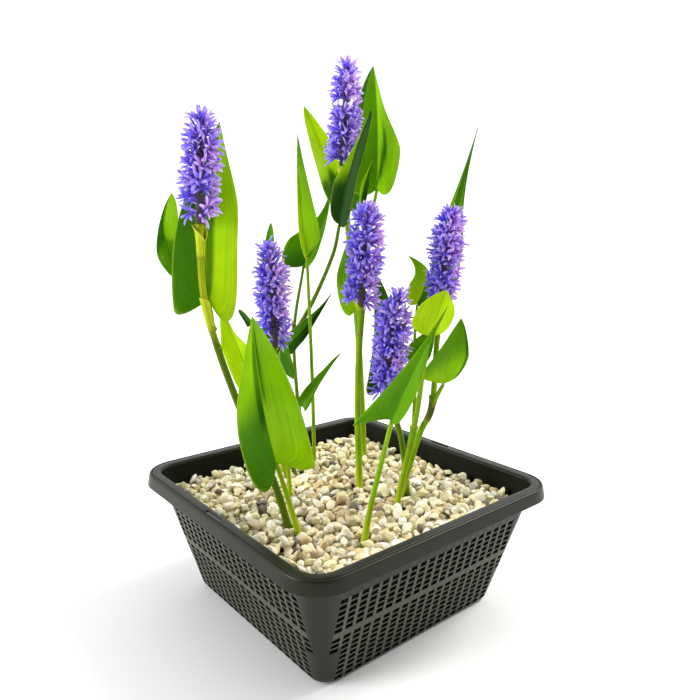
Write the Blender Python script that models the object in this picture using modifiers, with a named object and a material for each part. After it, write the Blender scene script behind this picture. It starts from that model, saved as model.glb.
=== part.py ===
"""Pickerelweed growing in a square pond basket.

The basket is one moulding with perforated walls and a hanging lip. Dark aquatic soil fills
it, pale gravel covers the soil, and the plant's stems come up through the gravel: six flower
stems, each with a spike, and the leaf stalks with their heart-shaped and lance-shaped blades.

The origin is the centre of the basket's underside, +Z is up, and the walls face X and Y.
Lengths of the plant are given in millimetres and turned into metres by MM.
"""

import math
import random

import bmesh
import bpy
from mathutils import Matrix, Vector

MM = 0.001
GAP = 0.3 * MM

# The basket: half-widths are of its outer faces
RIM_HALF = 113.3 * MM
LIP_HALF = 115.0 * MM
RIM_INNER_HALF = 104.6 * MM
FOOT_HALF = 82.3 * MM
WALL_TOP_HALF = 105.7 * MM
HEIGHT = 95.0 * MM
LIP_DROP = 9.1 * MM
WALL = 1.9 * MM
RIM_THICK = 2.4 * MM
FOOT_EDGE = 2.0 * MM
FOOT_CORNER = 12.0 * MM
WALL_CORNER = 16.0 * MM
RIM_CORNER = 24.2 * MM
CORNER_STEPS = 4

# Windows in the walls: an upper and a lower band with a plain belt between them
WINDOW_COLUMNS = 10
WINDOW_PITCH = 16.5 * MM
WINDOW_WIDTH = 10.0 * MM
UPPER_BAND = (44.5 * MM, 71.0 * MM)
LOWER_BAND = (3.6 * MM, 40.6 * MM)
LOWER_ROWS = 2
UPPER_ROWS = 1
ROW_BAR = 2.6 * MM
CORNER_REACH = 6.0 * MM
CUT_DEPTH = 16.0 * MM

# Slots: six in the floor on each side of its plain middle, one in the rim's front and back
FLOOR_SLOT = (60.0 * MM, 5.0 * MM)
FLOOR_RIB_HALF = 5.0 * MM
FLOOR_SLOT_ROWS = (28.0 * MM, 44.0 * MM, 60.0 * MM)
RIM_SLOT = (22.0 * MM, 3.0 * MM)
RIM_SLOT_OUT = 109.3 * MM

# What fills the basket
SOIL_TOP = 67.0 * MM
GRAVEL_LOW = 80.2 * MM
STONE_RISE = 4.7 * MM
STONE_JITTER = 0.6 * MM
STONE_CELLS = 12
ROOT_DEPTH = 12.5 * MM

# The plant
STEM_BEVEL = 2
SURFACE = 81.0
LEAF_THICK = 1.2 * MM
LEAF_ROWS = (0.0, 0.14, 0.30, 0.45, 0.64, 0.82, 1.0)
LEAF_COLUMNS = (-1.0, -0.5, 0.0, 0.5, 1.0)
LOBE_SHARE = 0.45
SPIKE_SIDES = 10
SPIKE_RINGS = 9

BASKET_BLACK = (0.030, 0.032, 0.028)
SOIL_BROWN = (0.030, 0.022, 0.016)
GRAVEL_CREAM = (0.62, 0.57, 0.44)
STEM_GREEN = (0.16, 0.30, 0.03)
LEAF_GREEN = (0.10, 0.34, 0.02)
FLOWER_VIOLET = (0.20, 0.10, 0.72)


def clear_scene():
    for old in list(bpy.data.objects):
        bpy.data.objects.remove(old, do_unlink=True)


def new_collection(name):
    group = bpy.data.collections.new(name)
    bpy.context.scene.collection.children.link(group)
    return group


def make_material(name, colour, roughness):
    material = bpy.data.materials.new(name)
    material.use_nodes = True
    shader = material.node_tree.nodes["Principled BSDF"]
    shader.inputs["Base Color"].default_value = (*colour, 1.0)
    shader.inputs["Roughness"].default_value = roughness
    shader.inputs["Metallic"].default_value = 0.0
    return material


def object_from(bm, name, group, colour=None, roughness=0.5, smooth=False):
    """Puts a bmesh into a new object, with a material of its own if it is a part."""
    bmesh.ops.recalc_face_normals(bm, faces=bm.faces)
    mesh = bpy.data.meshes.new(name)
    bm.to_mesh(mesh)
    bm.free()
    if smooth:
        mesh.shade_smooth()
    made = bpy.data.objects.new(name, mesh)
    group.objects.link(made)
    if colour:
        mesh.materials.append(make_material(name, colour, roughness))
    return made


def cut(target, cutter):
    """Takes the cutter's volume out of the target, live, with an exact Boolean."""
    boolean = target.modifiers.new("cut_" + cutter.name, "BOOLEAN")
    boolean.operation = "DIFFERENCE"
    boolean.solver = "EXACT"
    boolean.object = cutter
    cutter.hide_render = True
    cutter.display_type = "WIRE"


def rounded_square(half, radius, z):
    """Points of a square with rounded corners, counter-clockwise."""
    points = []
    for quarter in range(4):
        start = quarter * math.pi / 2
        corner = Matrix.Rotation(start, 3, "Z") @ Vector((half - radius, half - radius, 0))
        for step in range(CORNER_STEPS + 1):
            angle = start + step * math.pi / 2 / CORNER_STEPS
            reach = Vector((math.cos(angle), math.sin(angle), 0)) * radius
            points.append(corner + reach + Vector((0, 0, z)))
    return points


def loft(sections):
    """Skins a stack of rings that have the same number of points, and caps both ends."""
    bm = bmesh.new()
    rings = [[bm.verts.new(point) for point in ring] for ring in sections]
    for low, high in zip(rings, rings[1:]):
        for i in range(len(low)):
            j = (i + 1) % len(low)
            bm.faces.new((low[i], low[j], high[j], high[i]))
    bm.faces.new(reversed(rings[0]))
    bm.faces.new(rings[-1])
    return bm


def wall_half(z):
    """Half-width of the basket's outer wall face at a height."""
    top = HEIGHT - RIM_THICK
    share = (z - FOOT_EDGE) / (top - FOOT_EDGE)
    return FOOT_HALF + (WALL_TOP_HALF - FOOT_HALF) * share


def wall_radius(z):
    return FOOT_CORNER + (WALL_CORNER - FOOT_CORNER) * z / HEIGHT


def add_box(bm, centre, size):
    place = Matrix.Translation(centre) @ Matrix.Diagonal((*size, 1.0))
    bmesh.ops.create_cube(bm, size=1.0, matrix=place)


def make_basket(parts, cutters):
    lip_z = HEIGHT - LIP_DROP
    top_z = HEIGHT - RIM_THICK
    soft = 0.8 * MM
    lip_inner = LIP_HALF - WALL
    rim_under = RIM_HALF - WALL
    sections = [
        rounded_square(FOOT_HALF - FOOT_EDGE, FOOT_CORNER - FOOT_EDGE, 0.0),
        rounded_square(FOOT_HALF, FOOT_CORNER, FOOT_EDGE),
        rounded_square(WALL_TOP_HALF, WALL_CORNER, top_z),
        rounded_square(rim_under, RIM_CORNER - WALL, top_z),
        rounded_square(lip_inner, RIM_CORNER - WALL, lip_z),
        rounded_square(LIP_HALF, RIM_CORNER + soft, lip_z),
        rounded_square(RIM_HALF, RIM_CORNER, HEIGHT - soft),
        rounded_square(RIM_HALF - soft, RIM_CORNER - soft, HEIGHT),
        rounded_square(RIM_INNER_HALF + soft, WALL_CORNER - WALL, HEIGHT),
        rounded_square(RIM_INNER_HALF - soft, WALL_CORNER - 2 * WALL, HEIGHT - 2 * soft),
        rounded_square(FOOT_HALF - WALL, FOOT_CORNER - WALL, FOOT_EDGE),
    ]
    basket = object_from(loft(sections), "basket", parts, BASKET_BLACK, 0.45)
    cut(basket, make_window_cutter(cutters))
    cut(basket, make_slot_cutter(cutters))


def make_window_cutter(cutters):
    bm = bmesh.new()
    first = -(WINDOW_COLUMNS - 1) / 2
    for (low, high), rows in ((LOWER_BAND, LOWER_ROWS), (UPPER_BAND, UPPER_ROWS)):
        tall = (high - low - (rows - 1) * ROW_BAR) / rows
        for row in range(rows):
            z = low + tall / 2 + row * (tall + ROW_BAR)
            straight = wall_half(z - tall / 2) - wall_radius(z)
            for column in range(WINDOW_COLUMNS):
                along = (first + column) * WINDOW_PITCH
                if abs(along) + WINDOW_WIDTH / 2 > straight + CORNER_REACH:
                    continue
                for quarter in range(4):
                    turn = Matrix.Rotation(quarter * math.pi / 2, 4, "Z")
                    place = turn @ Matrix.Translation((along, -wall_half(z), z))
                    size = Matrix.Diagonal((WINDOW_WIDTH, CUT_DEPTH, tall, 1.0))
                    bmesh.ops.create_cube(bm, size=1.0, matrix=place @ size)
    return object_from(bm, "window_cutter", cutters)


def make_slot_cutter(cutters):
    bm = bmesh.new()
    long, wide = FLOOR_SLOT
    for out in FLOOR_SLOT_ROWS:
        for side in (-1, 1):
            for half in (-1, 1):
                middle = half * (long / 2 + FLOOR_RIB_HALF)
                add_box(bm, (middle, side * out, 0), (long, wide, 4 * WALL))
    long, wide = RIM_SLOT
    for side in (-1, 1):
        add_box(bm, (0, side * RIM_SLOT_OUT, HEIGHT), (long, wide, 4 * RIM_THICK))
    return object_from(bm, "slot_cutter", cutters)


def fill_ring(z):
    """A ring just inside the basket's inner wall."""
    half = wall_half(z) - WALL - 1.5 * GAP
    return rounded_square(half, wall_radius(z) - WALL, z)


def make_soil(parts):
    sections = [fill_ring(FOOT_EDGE + GAP), fill_ring(SOIL_TOP)]
    object_from(loft(sections), "soil", parts, SOIL_BROWN, 0.95)


def round_off(point, half, radius):
    """Draws in the points near a square's corners, so that the corners are round."""
    start = half - radius
    out = Vector((abs(point.x) - start, abs(point.y) - start))
    if min(out) > 0:
        out *= max(out) / out.length
        point.x = math.copysign(start + out.x, point.x)
        point.y = math.copysign(start + out.y, point.y)


def make_gravel(parts, rooms):
    """A bed of gravel with its main stones standing out of it, and a hole for each stem."""
    jitter = random.Random(4)
    half = wall_half(GRAVEL_LOW) - WALL - 1.5 * GAP
    low_half = wall_half(SOIL_TOP) - WALL - 1.5 * GAP
    bm = bmesh.new()
    bmesh.ops.create_grid(bm, x_segments=STONE_CELLS, y_segments=STONE_CELLS, size=half)
    for vert in bm.verts:
        vert.co.z = GRAVEL_LOW
        if not vert.is_boundary:
            vert.co += Vector([jitter.uniform(-1, 1) for _ in range(3)]) * STONE_JITTER
        round_off(vert.co, half, wall_radius(GRAVEL_LOW) - WALL)
    top = list(bm.faces)
    edges = [edge for edge in bm.edges if edge.is_boundary]
    skirt = bmesh.ops.extrude_edge_only(bm, edges=edges)["geom"]
    for vert in skirt:
        if isinstance(vert, bmesh.types.BMVert):
            vert.co *= low_half / half
            vert.co.z = SOIL_TOP + GAP
    bmesh.ops.holes_fill(bm, edges=[edge for edge in bm.edges if edge.is_boundary])
    for stone in bmesh.ops.poke(bm, faces=top)["verts"]:
        stone.co.z += STONE_RISE
        stone.co += Vector([jitter.uniform(-1, 1) for _ in range(3)]) * STONE_JITTER
    gravel = object_from(bm, "gravel", parts, GRAVEL_CREAM, 0.85)
    for room in rooms:
        cut(gravel, room)


def smooth_route(points, steps):
    """Points along a smooth curve through the given points."""
    ends = [points[0] * 2 - points[1], *points, points[-1] * 2 - points[-2]]
    route = []
    for i in range(1, len(ends) - 2):
        before, start, stop, after = ends[i - 1 : i + 3]
        for step in range(steps):
            t = step / steps
            line = start * 2 + (stop - before) * t
            curve = (before * 2 - start * 5 + stop * 4 - after) * t**2
            twist = (start * 3 - before - stop * 3 + after) * t**3
            route.append((line + curve + twist) / 2)
    route.append(points[-1])
    return route


def make_tube(name, group, route, radii, colour=None):
    """A round stem along a route, as a welded mesh made from a bevelled curve."""
    curve = bpy.data.curves.new(name, "CURVE")
    curve.dimensions = "3D"
    curve.bevel_depth = 1.0
    curve.bevel_resolution = STEM_BEVEL
    curve.use_fill_caps = True
    spline = curve.splines.new("POLY")
    spline.points.add(len(route) - 1)
    for i, point in enumerate(route):
        share = i / (len(route) - 1)
        spline.points[i].co = (*point, 1.0)
        spline.points[i].radius = radii[0] + (radii[1] - radii[0]) * share
    guide = bpy.data.objects.new(name + "_guide", curve)
    group.objects.link(guide)
    bpy.context.view_layer.update()
    evaluated = guide.evaluated_get(bpy.context.evaluated_depsgraph_get())
    mesh = bpy.data.meshes.new_from_object(evaluated)
    place = guide.matrix_world.copy()
    bpy.data.objects.remove(guide)
    bm = bmesh.new()
    bm.from_mesh(mesh)
    bpy.data.meshes.remove(mesh)
    bmesh.ops.remove_doubles(bm, verts=bm.verts, dist=0.01 * MM)
    tube = object_from(bm, name, group, colour, 0.45, smooth=True)
    tube.matrix_world = place
    return tube


class Plant:
    """Keeps each stem's route, so that leaves, spikes and forks can be set on it."""

    def __init__(self, parts, cutters):
        self.parts = parts
        self.cutters = cutters
        self.routes = {}
        self.rooms = {}
        self.rooted = []

    def stem(self, name, foot, *through, thick, steps=2):
        """A stem that is rooted in the gravel at foot, in mm, and goes through the points."""
        points = [Vector((*foot, SURFACE)) * MM] + [Vector(p) * MM for p in through]
        rise = (points[1] - points[0]).normalized()
        root = points[0] - rise * (ROOT_DEPTH / rise.z)
        self.grow(name, [root] + smooth_route(points, steps), thick)
        self.rooted.append(self.rooms[name])

    def fork(self, name, parent, *through, thick, steps=2):
        """A stem that leaves another one: its first point is on the parent's middle line."""
        points = [Vector(p) * MM for p in through]
        self.grow(name, smooth_route(points, steps), thick)
        cut(bpy.data.objects[name], self.rooms[parent])

    def grow(self, name, route, thick):
        """Makes the stem, and the room it needs in whatever it passes through or meets."""
        self.routes[name] = route
        radii = [size * MM / 2 for size in thick]
        make_tube(name, self.parts, route, radii, STEM_GREEN)
        longer = list(route)
        longer[0] = route[0] - (route[1] - route[0]).normalized() * GAP
        longer[-1] = route[-1] + (route[-1] - route[-2]).normalized() * GAP
        wider = [radius + GAP for radius in radii]
        self.rooms[name] = make_tube(name + "_room", self.cutters, longer, wider)

    def end_of(self, name):
        route = self.routes[name]
        return route[-1], (route[-1] - route[-2]).normalized()


def bezier(points, t):
    a, b, c, d = points
    s = 1 - t
    return a * s**3 + b * 3 * s**2 * t + c * 3 * s * t**2 + d * t**3


def half(width, lobe=0.0, widest=0.2, blunt=0.33, reach=0.72):
    """What shapes one half of a blade: its width and how far its lobe reaches back, in mm,
    and as shares where it is widest, how blunt its tip is, and where the tip's taper starts.
    """
    return width * MM, lobe * MM, widest, blunt, reach


def half_outline(t, length, shape):
    """One edge of a blade as (along, out): from the notch, round the lobe, to the tip."""
    width, lobe, widest, blunt, reach = shape
    broad = Vector((widest * length, width))
    if t < LOBE_SHARE:
        notch = Vector((-1.2 * lobe, 0.30 * width))
        back = Vector((min(widest * length, 0) - 1.6 * lobe, width))
        points = (Vector((0, 0)), notch, back, broad)
        return bezier(points, t / LOBE_SHARE)
    swell = broad + Vector((0.9 * lobe + 0.12 * length, 0))
    taper = Vector((reach * length, blunt * width))
    points = (broad, swell, taper, Vector((length, 0)))
    return bezier(points, (t - LOBE_SHARE) / (1 - LOBE_SHARE))


def make_leaf(plant, number, length, rise, bearing, faces, left, right,
              fold=24, bow=0, sway=0):
    """A blade on leaf_stalk_NUMBER, with lengths in mm and angles in degrees.

    It leans towards a compass bearing at an angle of rise, its upper face looks towards
    faces, and its left and right halves fold up about the midrib. bow moves the middle of
    the midrib out of the blade, and sway moves it sideways.
    """
    top, onward = plant.end_of(f"leaf_stalk_{number}")
    length *= MM
    base = top + onward * 2 * GAP
    rise, bearing, faces, fold = (math.radians(a) for a in (rise, bearing, faces, fold))
    flat = Vector((math.cos(bearing), math.sin(bearing), 0))
    aim = flat * math.cos(rise) + Vector((0, 0, math.sin(rise)))
    look = Vector((math.cos(faces), math.sin(faces), 0))
    outward = (look - aim * look.dot(aim)).normalized()
    side = aim.cross(outward)
    tip = base + aim * length
    middle = base + aim * length / 2 + outward * bow * MM + side * sway * MM
    pull = middle * 2 - (base + tip) / 2
    longer = (middle - base).length + (tip - middle).length

    bm = bmesh.new()
    rows = len(LEAF_ROWS) - 1
    columns = len(LEAF_COLUMNS) - 1
    bmesh.ops.create_grid(bm, x_segments=rows, y_segments=columns, size=1.0)
    for vert in bm.verts:
        row = round((vert.co.x + 1) / 2 * rows)
        column = round((vert.co.y + 1) / 2 * columns)
        t = LEAF_ROWS[row]
        across = LEAF_COLUMNS[column]
        edge = half_outline(t, longer, left if across < 0 else right)
        along = longer * t**1.3
        along += abs(across) * (edge.x - along)
        out = across * edge.y
        s = min(max(along / longer, 0.0), 1.0)
        run = ((pull - base) * (1 - s) + (tip - pull) * s).normalized()
        normal = (look - run * look.dot(run)).normalized()
        point = base * (1 - s) ** 2 + pull * 2 * s * (1 - s) + tip * s**2
        if along < 0:
            point = base + run * along
        vert.co = point + run.cross(normal) * out * math.cos(fold)
        vert.co += normal * abs(out) * math.sin(fold)
    bmesh.ops.remove_doubles(bm, verts=bm.verts, dist=0.05 * MM)
    leaf = object_from(bm, f"leaf_{number}", plant.parts, LEAF_GREEN, 0.4, smooth=True)
    solid = leaf.modifiers.new("thickness", "SOLIDIFY")
    solid.thickness = LEAF_THICK
    solid.offset = 0.0
    cut(leaf, plant.rooms[f"leaf_stalk_{number}"])


def make_spike(plant, number, length, lean, radius):
    """The flower spike on flower_stem_NUMBER: a lumpy spindle as wide as the petals reach."""
    top, onward = plant.end_of(f"flower_stem_{number}")
    length *= MM
    base = top + onward * GAP
    tip = base + Vector((lean[0] * MM, lean[1] * MM, length))
    axis = (tip - base).normalized()
    turn = axis.to_track_quat("Z", "X").to_matrix().to_4x4()
    place = Matrix.Translation((base + tip) / 2) @ turn
    bm = bmesh.new()
    bmesh.ops.create_uvsphere(
        bm, u_segments=SPIKE_SIDES, v_segments=SPIKE_RINGS, radius=1.0
    )
    for vert in bm.verts:
        angle = math.atan2(vert.co.y, vert.co.x)
        ring = round(math.acos(max(-1, min(1, vert.co.z))) / math.pi * SPIKE_RINGS)
        share = ring / SPIKE_RINGS
        width = math.sin(share * math.pi) ** 0.3 * (0.80 + 0.20 * share)
        if ring in (0, SPIKE_RINGS):
            width = 0.0
        lump = 1 + 0.09 * math.cos(5 * angle + math.pi * ring)
        reach = radius * MM * width * lump
        height = length / 2 * (1 - 2 * share)
        vert.co = Vector((math.cos(angle) * reach, math.sin(angle) * reach, height))
    bmesh.ops.transform(bm, matrix=place, verts=bm.verts)
    name = f"flower_spike_{number}"
    object_from(bm, name, plant.parts, FLOWER_VIOLET, 0.6, smooth=True)


def grow_stems(plant):
    """Flower stems and leaf stalks, as points in mm that each one passes through."""
    stem, fork = plant.stem, plant.fork
    # flower stems
    stem("flower_stem_1", (15, -61), (6, -66, 111), (-15, -80, 165), (-29, -93, 230),
         (-25, -97, 284), thick=(5.4, 4.6))
    stem("flower_stem_2", (-63, -11), (-61, -14, 140), (-59, -19, 188), thick=(4.8, 4.2))
    stem("flower_stem_3", (-48, 64), (-51, 61, 175), (-54, 53, 262), (-55, 46, 328),
         thick=(5.6, 4.4))
    stem("flower_stem_4", (0, 18), (1, 15, 155), (7, 13, 225), thick=(5.6, 4.4))
    stem("flower_stem_5", (31, 33), (40, 42, 128), (44, 51, 150), (37, 62, 192),
         (36, 66, 226), thick=(5.0, 4.0))
    stem("flower_stem_6", (26, 44), (26, 41, 105), (28, 33, 131), (27, 20, 161),
         thick=(4.8, 4.2))
    # leaf stalks rooted in the gravel
    stem("leaf_stalk_3", (-23, -32), (-29, -33, 113), (-51, -41, 144), thick=(4.4, 2.4))
    stem("leaf_stalk_4", (29, -62), (23, -66, 105), (23, -74, 130), thick=(5.2, 2.8))
    stem("leaf_stalk_5", (-61, -2), (-69, -2, 122), (-77, -3, 166), thick=(4.0, 2.4))
    stem("leaf_stalk_6", (-69, 25), (-67, 22, 165), (-65, 17, 256), thick=(4.0, 2.4))
    stem("leaf_stalk_7", (-69, 13), (-79, 17, 116), (-97, 25, 187), (-95, 35, 247),
         thick=(4.4, 2.4))
    stem("leaf_stalk_8", (-78, 2), (-84, 4, 118), (-94, 9, 174), thick=(4.0, 2.2))
    stem("leaf_stalk_9", (-58, 8), (-57, 3, 112), (-54, 0, 137), thick=(4.0, 2.2))
    stem("leaf_stalk_15", (68, -36), (70, -31, 108), (79, -23, 162), thick=(5.2, 2.8))
    stem("leaf_stalk_16", (38, 23), (45, 33, 143), (50, 34, 177), (55, 35, 206),
         thick=(5.2, 2.6))
    # leaf stalks that leave a stem
    fork("leaf_stalk_1", "flower_stem_1", (-26, -90, 214), (-34, -87, 224), (-38, -86, 233),
         thick=(4.0, 2.8))
    fork("leaf_stalk_2", "flower_stem_1", (-23, -87, 200), (-45, -88, 231), (-63, -93, 253),
         thick=(2.8, 2.2))
    fork("leaf_stalk_10", "flower_stem_3", (-54, 54, 253), (-62, 59, 276), (-69, 60, 295),
         thick=(3.0, 2.2))
    fork("leaf_stalk_11", "leaf_stalk_7", (-97, 25, 187), (-84, 38, 220), (-58, 38, 258),
         (-43, 33, 282), thick=(2.8, 2.2))
    fork("leaf_stalk_12", "flower_stem_3", (-53, 58, 216), (-53, 67, 257), (-49, 78, 311),
         thick=(3.6, 2.6))
    fork("leaf_stalk_13", "flower_stem_4", (2, 14, 176), (-6, 20, 203), (-11, 23, 221),
         thick=(2.8, 2.0))
    fork("leaf_stalk_14", "flower_stem_6", (28, 34, 128), (14, 37, 143), (2, 38, 158),
         thick=(2.8, 2.0))
    fork("leaf_stalk_17", "leaf_stalk_16", (44, 32, 131), (28, 49, 162), (13, 63, 194),
         (8, 70, 221), thick=(3.0, 2.0))
    fork("leaf_stalk_18", "flower_stem_5", (44, 51, 150), (48, 53, 160), (53, 53, 168),
         thick=(3.8, 2.6))
    fork("leaf_stalk_19", "flower_stem_5", (37, 63, 200), (25, 79, 208), (16, 94, 224),
         thick=(3.0, 2.2))
    fork("leaf_stalk_20", "flower_stem_3", (-54, 55, 245), (-48, 55, 272), (-43, 54, 291),
         thick=(2.6, 1.8))
    fork("leaf_stalk_21", "leaf_stalk_16", (49, 34, 170), (40, 40, 178), (31, 44, 184),
         thick=(2.6, 1.8))


def grow_leaves(plant):
    def leaf(number, **shape):
        make_leaf(plant, number, **shape)

    # left group: the tall leaf behind the first spike, and the broad one in front
    leaf(1, length=117, rise=84, bearing=70, faces=-31, sway=-5,
         left=half(25, lobe=5, widest=-0.04, blunt=0.96, reach=0.4),
         right=half(23.5, lobe=19, widest=0.3, blunt=1.1, reach=0.56))
    leaf(2, length=52, rise=80, bearing=180, faces=-19, fold=22, sway=-8.5,
         left=half(10.5, lobe=7, widest=0.15, blunt=0.21, reach=0.3),
         right=half(12.5, lobe=6.5, widest=0.21, blunt=0.9, reach=0.95))
    leaf(3, length=85.5, rise=66, bearing=198, faces=-53, bow=-2,
         left=half(12, lobe=-3.5, widest=0.55, blunt=0.34, reach=0.95),
         right=half(12, lobe=9.5, widest=0.46, blunt=0.12, reach=0.53))
    leaf(4, length=97.5, rise=75, bearing=179, faces=-19, bow=11, sway=-4.5,
         left=half(22.5, lobe=17, widest=0.2, blunt=0.77, reach=0.4),
         right=half(25.5, lobe=5, widest=-0.06, blunt=1, reach=0.6))
    leaf(5, length=118, rise=84, bearing=171, faces=-39, fold=20, bow=-3, sway=-7.5,
         left=half(8, lobe=4.5, widest=-0.04, blunt=0.52, reach=0.95),
         right=half(12.5, lobe=9.5, widest=-0.04, blunt=0.8, reach=0.95))
    # behind them: lance leaves and a narrow rolled one
    leaf(6, length=95, rise=86, bearing=210, faces=-24, fold=26, bow=5, sway=-3.5,
         left=half(4, lobe=1.5, blunt=0.03, reach=0.52),
         right=half(14, lobe=-5.5, blunt=0.15, reach=0.95))
    leaf(7, length=78.5, rise=71, bearing=66, faces=-49, bow=-2, sway=5,
         left=half(23, lobe=9, widest=0.11, blunt=0.03, reach=0.41),
         right=half(6, lobe=2, widest=0.1, blunt=0.1, reach=0.5))
    leaf(8, length=69, rise=47, bearing=70, faces=1, fold=30, sway=2,
         left=half(16.5, lobe=-1, widest=0.21, blunt=0.03, reach=0.67),
         right=half(8, lobe=-1, widest=0.11, blunt=0.37, reach=0.64))
    leaf(9, length=57, rise=53, bearing=49, faces=-79, fold=32, bow=2, sway=1,
         left=half(5, lobe=4, widest=0.3, blunt=0.5, reach=0.8),
         right=half(12, lobe=-2.5, widest=0.05, blunt=0.05, reach=0.3))
    # round the tallest spike
    leaf(10, length=92, rise=66, bearing=206, faces=-24, fold=22, bow=-3, sway=2,
         left=half(14.5, lobe=4, widest=0.23, blunt=0.54, reach=0.95),
         right=half(16, lobe=6, widest=0.15, blunt=0.18, reach=0.95))
    leaf(11, length=90.5, rise=74, bearing=58, faces=-53, sway=-3.5,
         left=half(10.5, lobe=-1, widest=0.3, blunt=0.03, reach=0.54),
         right=half(9.5, lobe=3, widest=0.19, blunt=0.96, reach=0.95))
    leaf(12, length=98.5, rise=84, bearing=160, faces=-69, fold=26, bow=-5, sway=0.5,
         left=half(25.5, lobe=8, widest=0.17, blunt=0.7, reach=0.84),
         right=half(27.5, lobe=9.5, widest=0.23, blunt=0.24, reach=0.53))
    leaf(20, length=43.5, rise=75, bearing=65, faces=-9, fold=30, bow=1, sway=-3,
         left=half(4.5, lobe=-3, widest=0.45, blunt=0.45, reach=0.77),
         right=half(4, lobe=1, widest=0.39, blunt=0.48, reach=0.85))
    # the middle and the right group
    leaf(13, length=63, rise=81, bearing=132, faces=-59, sway=-4,
         left=half(12, lobe=7, widest=0.2, blunt=0.5),
         right=half(13, lobe=3, widest=0.1, blunt=0.3))
    leaf(14, length=87, rise=80, bearing=152, faces=-64, bow=-2, sway=5,
         left=half(11, lobe=8, widest=0, blunt=0.9, reach=0.9),
         right=half(14, lobe=6, widest=0.19, blunt=0.53, reach=0.87))
    leaf(15, length=80, rise=65, bearing=55, faces=-67, fold=28, bow=5, sway=1,
         left=half(21.5, widest=-0.17, blunt=0.23, reach=0.3),
         right=half(9, lobe=2, widest=0.31, blunt=0.05, reach=0.4))
    leaf(16, length=34, rise=71, bearing=58, faces=-42, fold=20, sway=1,
         left=half(17.5, lobe=1.5, widest=0.19, blunt=1.1, reach=0.71),
         right=half(10.5, lobe=-2, widest=0.55, blunt=0.79, reach=0.78))
    leaf(17, length=39, rise=77, bearing=-117, faces=-59, bow=-8, sway=8,
         left=half(12, lobe=5, widest=0.25), right=half(9, lobe=2, widest=0.25))
    leaf(18, length=50, rise=77, bearing=53, faces=-39, fold=18, bow=3, sway=1.5,
         left=half(20.5, widest=0.06, blunt=0.32, reach=0.83),
         right=half(10, lobe=-4, widest=0.5, blunt=0.47, reach=0.89))
    leaf(19, length=134, rise=79, bearing=78, faces=-59, fold=26, sway=-2.5,
         left=half(10.5, lobe=8, widest=0.4, blunt=0.05, reach=0.73),
         right=half(8, lobe=6, widest=0.28, blunt=0.05, reach=0.4))
    leaf(21, length=31, rise=58, bearing=45, faces=-45, bow=-1,
         left=half(10, lobe=5), right=half(10, lobe=5))


def grow_spikes(plant):
    make_spike(plant, 1, length=72, lean=(5, 3), radius=15.0)
    make_spike(plant, 2, length=85, lean=(0, -3), radius=16.0)
    make_spike(plant, 3, length=83, lean=(6, 1), radius=16.0)
    make_spike(plant, 4, length=78, lean=(6, 2), radius=15.5)
    make_spike(plant, 5, length=74, lean=(3, 7), radius=15.0)
    make_spike(plant, 6, length=81, lean=(8, 4), radius=15.5)


clear_scene()
part_group = new_collection("pickerelweed")
cutter_group = new_collection("cutters")
make_basket(part_group, cutter_group)
make_soil(part_group)
pickerelweed = Plant(part_group, cutter_group)
grow_stems(pickerelweed)
grow_leaves(pickerelweed)
grow_spikes(pickerelweed)
make_gravel(part_group, pickerelweed.rooted)
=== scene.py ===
"""The looks of a pickerelweed in a square pond basket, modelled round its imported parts."""

import math
import random

import bmesh
import bpy
import numpy as np
from mathutils import Matrix, Quaternion, Vector
from mathutils.bvhtree import BVHTree


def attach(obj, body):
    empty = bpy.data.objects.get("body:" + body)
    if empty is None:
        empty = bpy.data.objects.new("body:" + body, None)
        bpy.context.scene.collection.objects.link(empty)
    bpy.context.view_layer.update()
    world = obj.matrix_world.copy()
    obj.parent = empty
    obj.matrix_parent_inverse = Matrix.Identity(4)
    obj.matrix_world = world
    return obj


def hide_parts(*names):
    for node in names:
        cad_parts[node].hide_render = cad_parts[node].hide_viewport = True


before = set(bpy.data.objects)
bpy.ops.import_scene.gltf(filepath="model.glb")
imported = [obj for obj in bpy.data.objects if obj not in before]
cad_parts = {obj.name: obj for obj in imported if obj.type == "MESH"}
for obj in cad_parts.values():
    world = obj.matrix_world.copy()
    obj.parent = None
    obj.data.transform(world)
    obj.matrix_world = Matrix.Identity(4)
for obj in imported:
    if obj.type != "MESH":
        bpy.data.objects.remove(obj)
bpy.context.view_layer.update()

MM = 0.001


# The basket: one moulding in matte black-green plastic. Its walls have rows of small square
# holes in two bands with a plain belt between them and plain corner posts, and its rim turns
# over into a hanging lip. It is moulded in one shot, so everything has the same thin wall.
WALL = 1.4 * MM
WALL_LOW, WALL_RISE = 2.0, 90.6
WALL_HALF_LOW, WALL_HALF_HIGH = 82.3, 105.7
CORNER_RADIUS, CORNER_RADIUS_GROWS, WALL_TOP = 12.0, 4.0, 95.0
RIM_FROM, RIM_OUT = 103.6, 9.7
RIM_RADIUS, RIM_RADIUS_GROWS = 14.0, 10.6
SLOT_AT = 107.8
HOLE_COLUMNS = 20
HOLE_PITCH = 8.25 * MM
HOLE_WIDTH = 5.5 * MM
LOWER_HOLES = {"rows": 9, "highest": 38.5, "pitch": 4.16, "tall": 2.85}
UPPER_HOLES = {"rows": 6, "highest": 68.8, "pitch": 4.45, "tall": 3.2}
SHORT_ROWS_UNDER = 30.0
CORNER_STEPS = 6
# A wall's faces are counted from its left corner; the middle one is between two holes
MIDDLE_FACE = 24
FACES_TO_LAST_HOLE = {"holes": 19, "short holes": 17}
SLOT_FACES = range(22, 27)
LATTICE_HEIGHTS = (4.0, 70.0)
INSIDE_UNDER = 94.0
RIM_INSIDE = 104.5
FLOOR_TOP = 1.8
FLOOR_SLOTS = {"rows": (-60, -44, -28, 28, 44, 60), "reach": (5, 65), "wide": 5.0}
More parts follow.
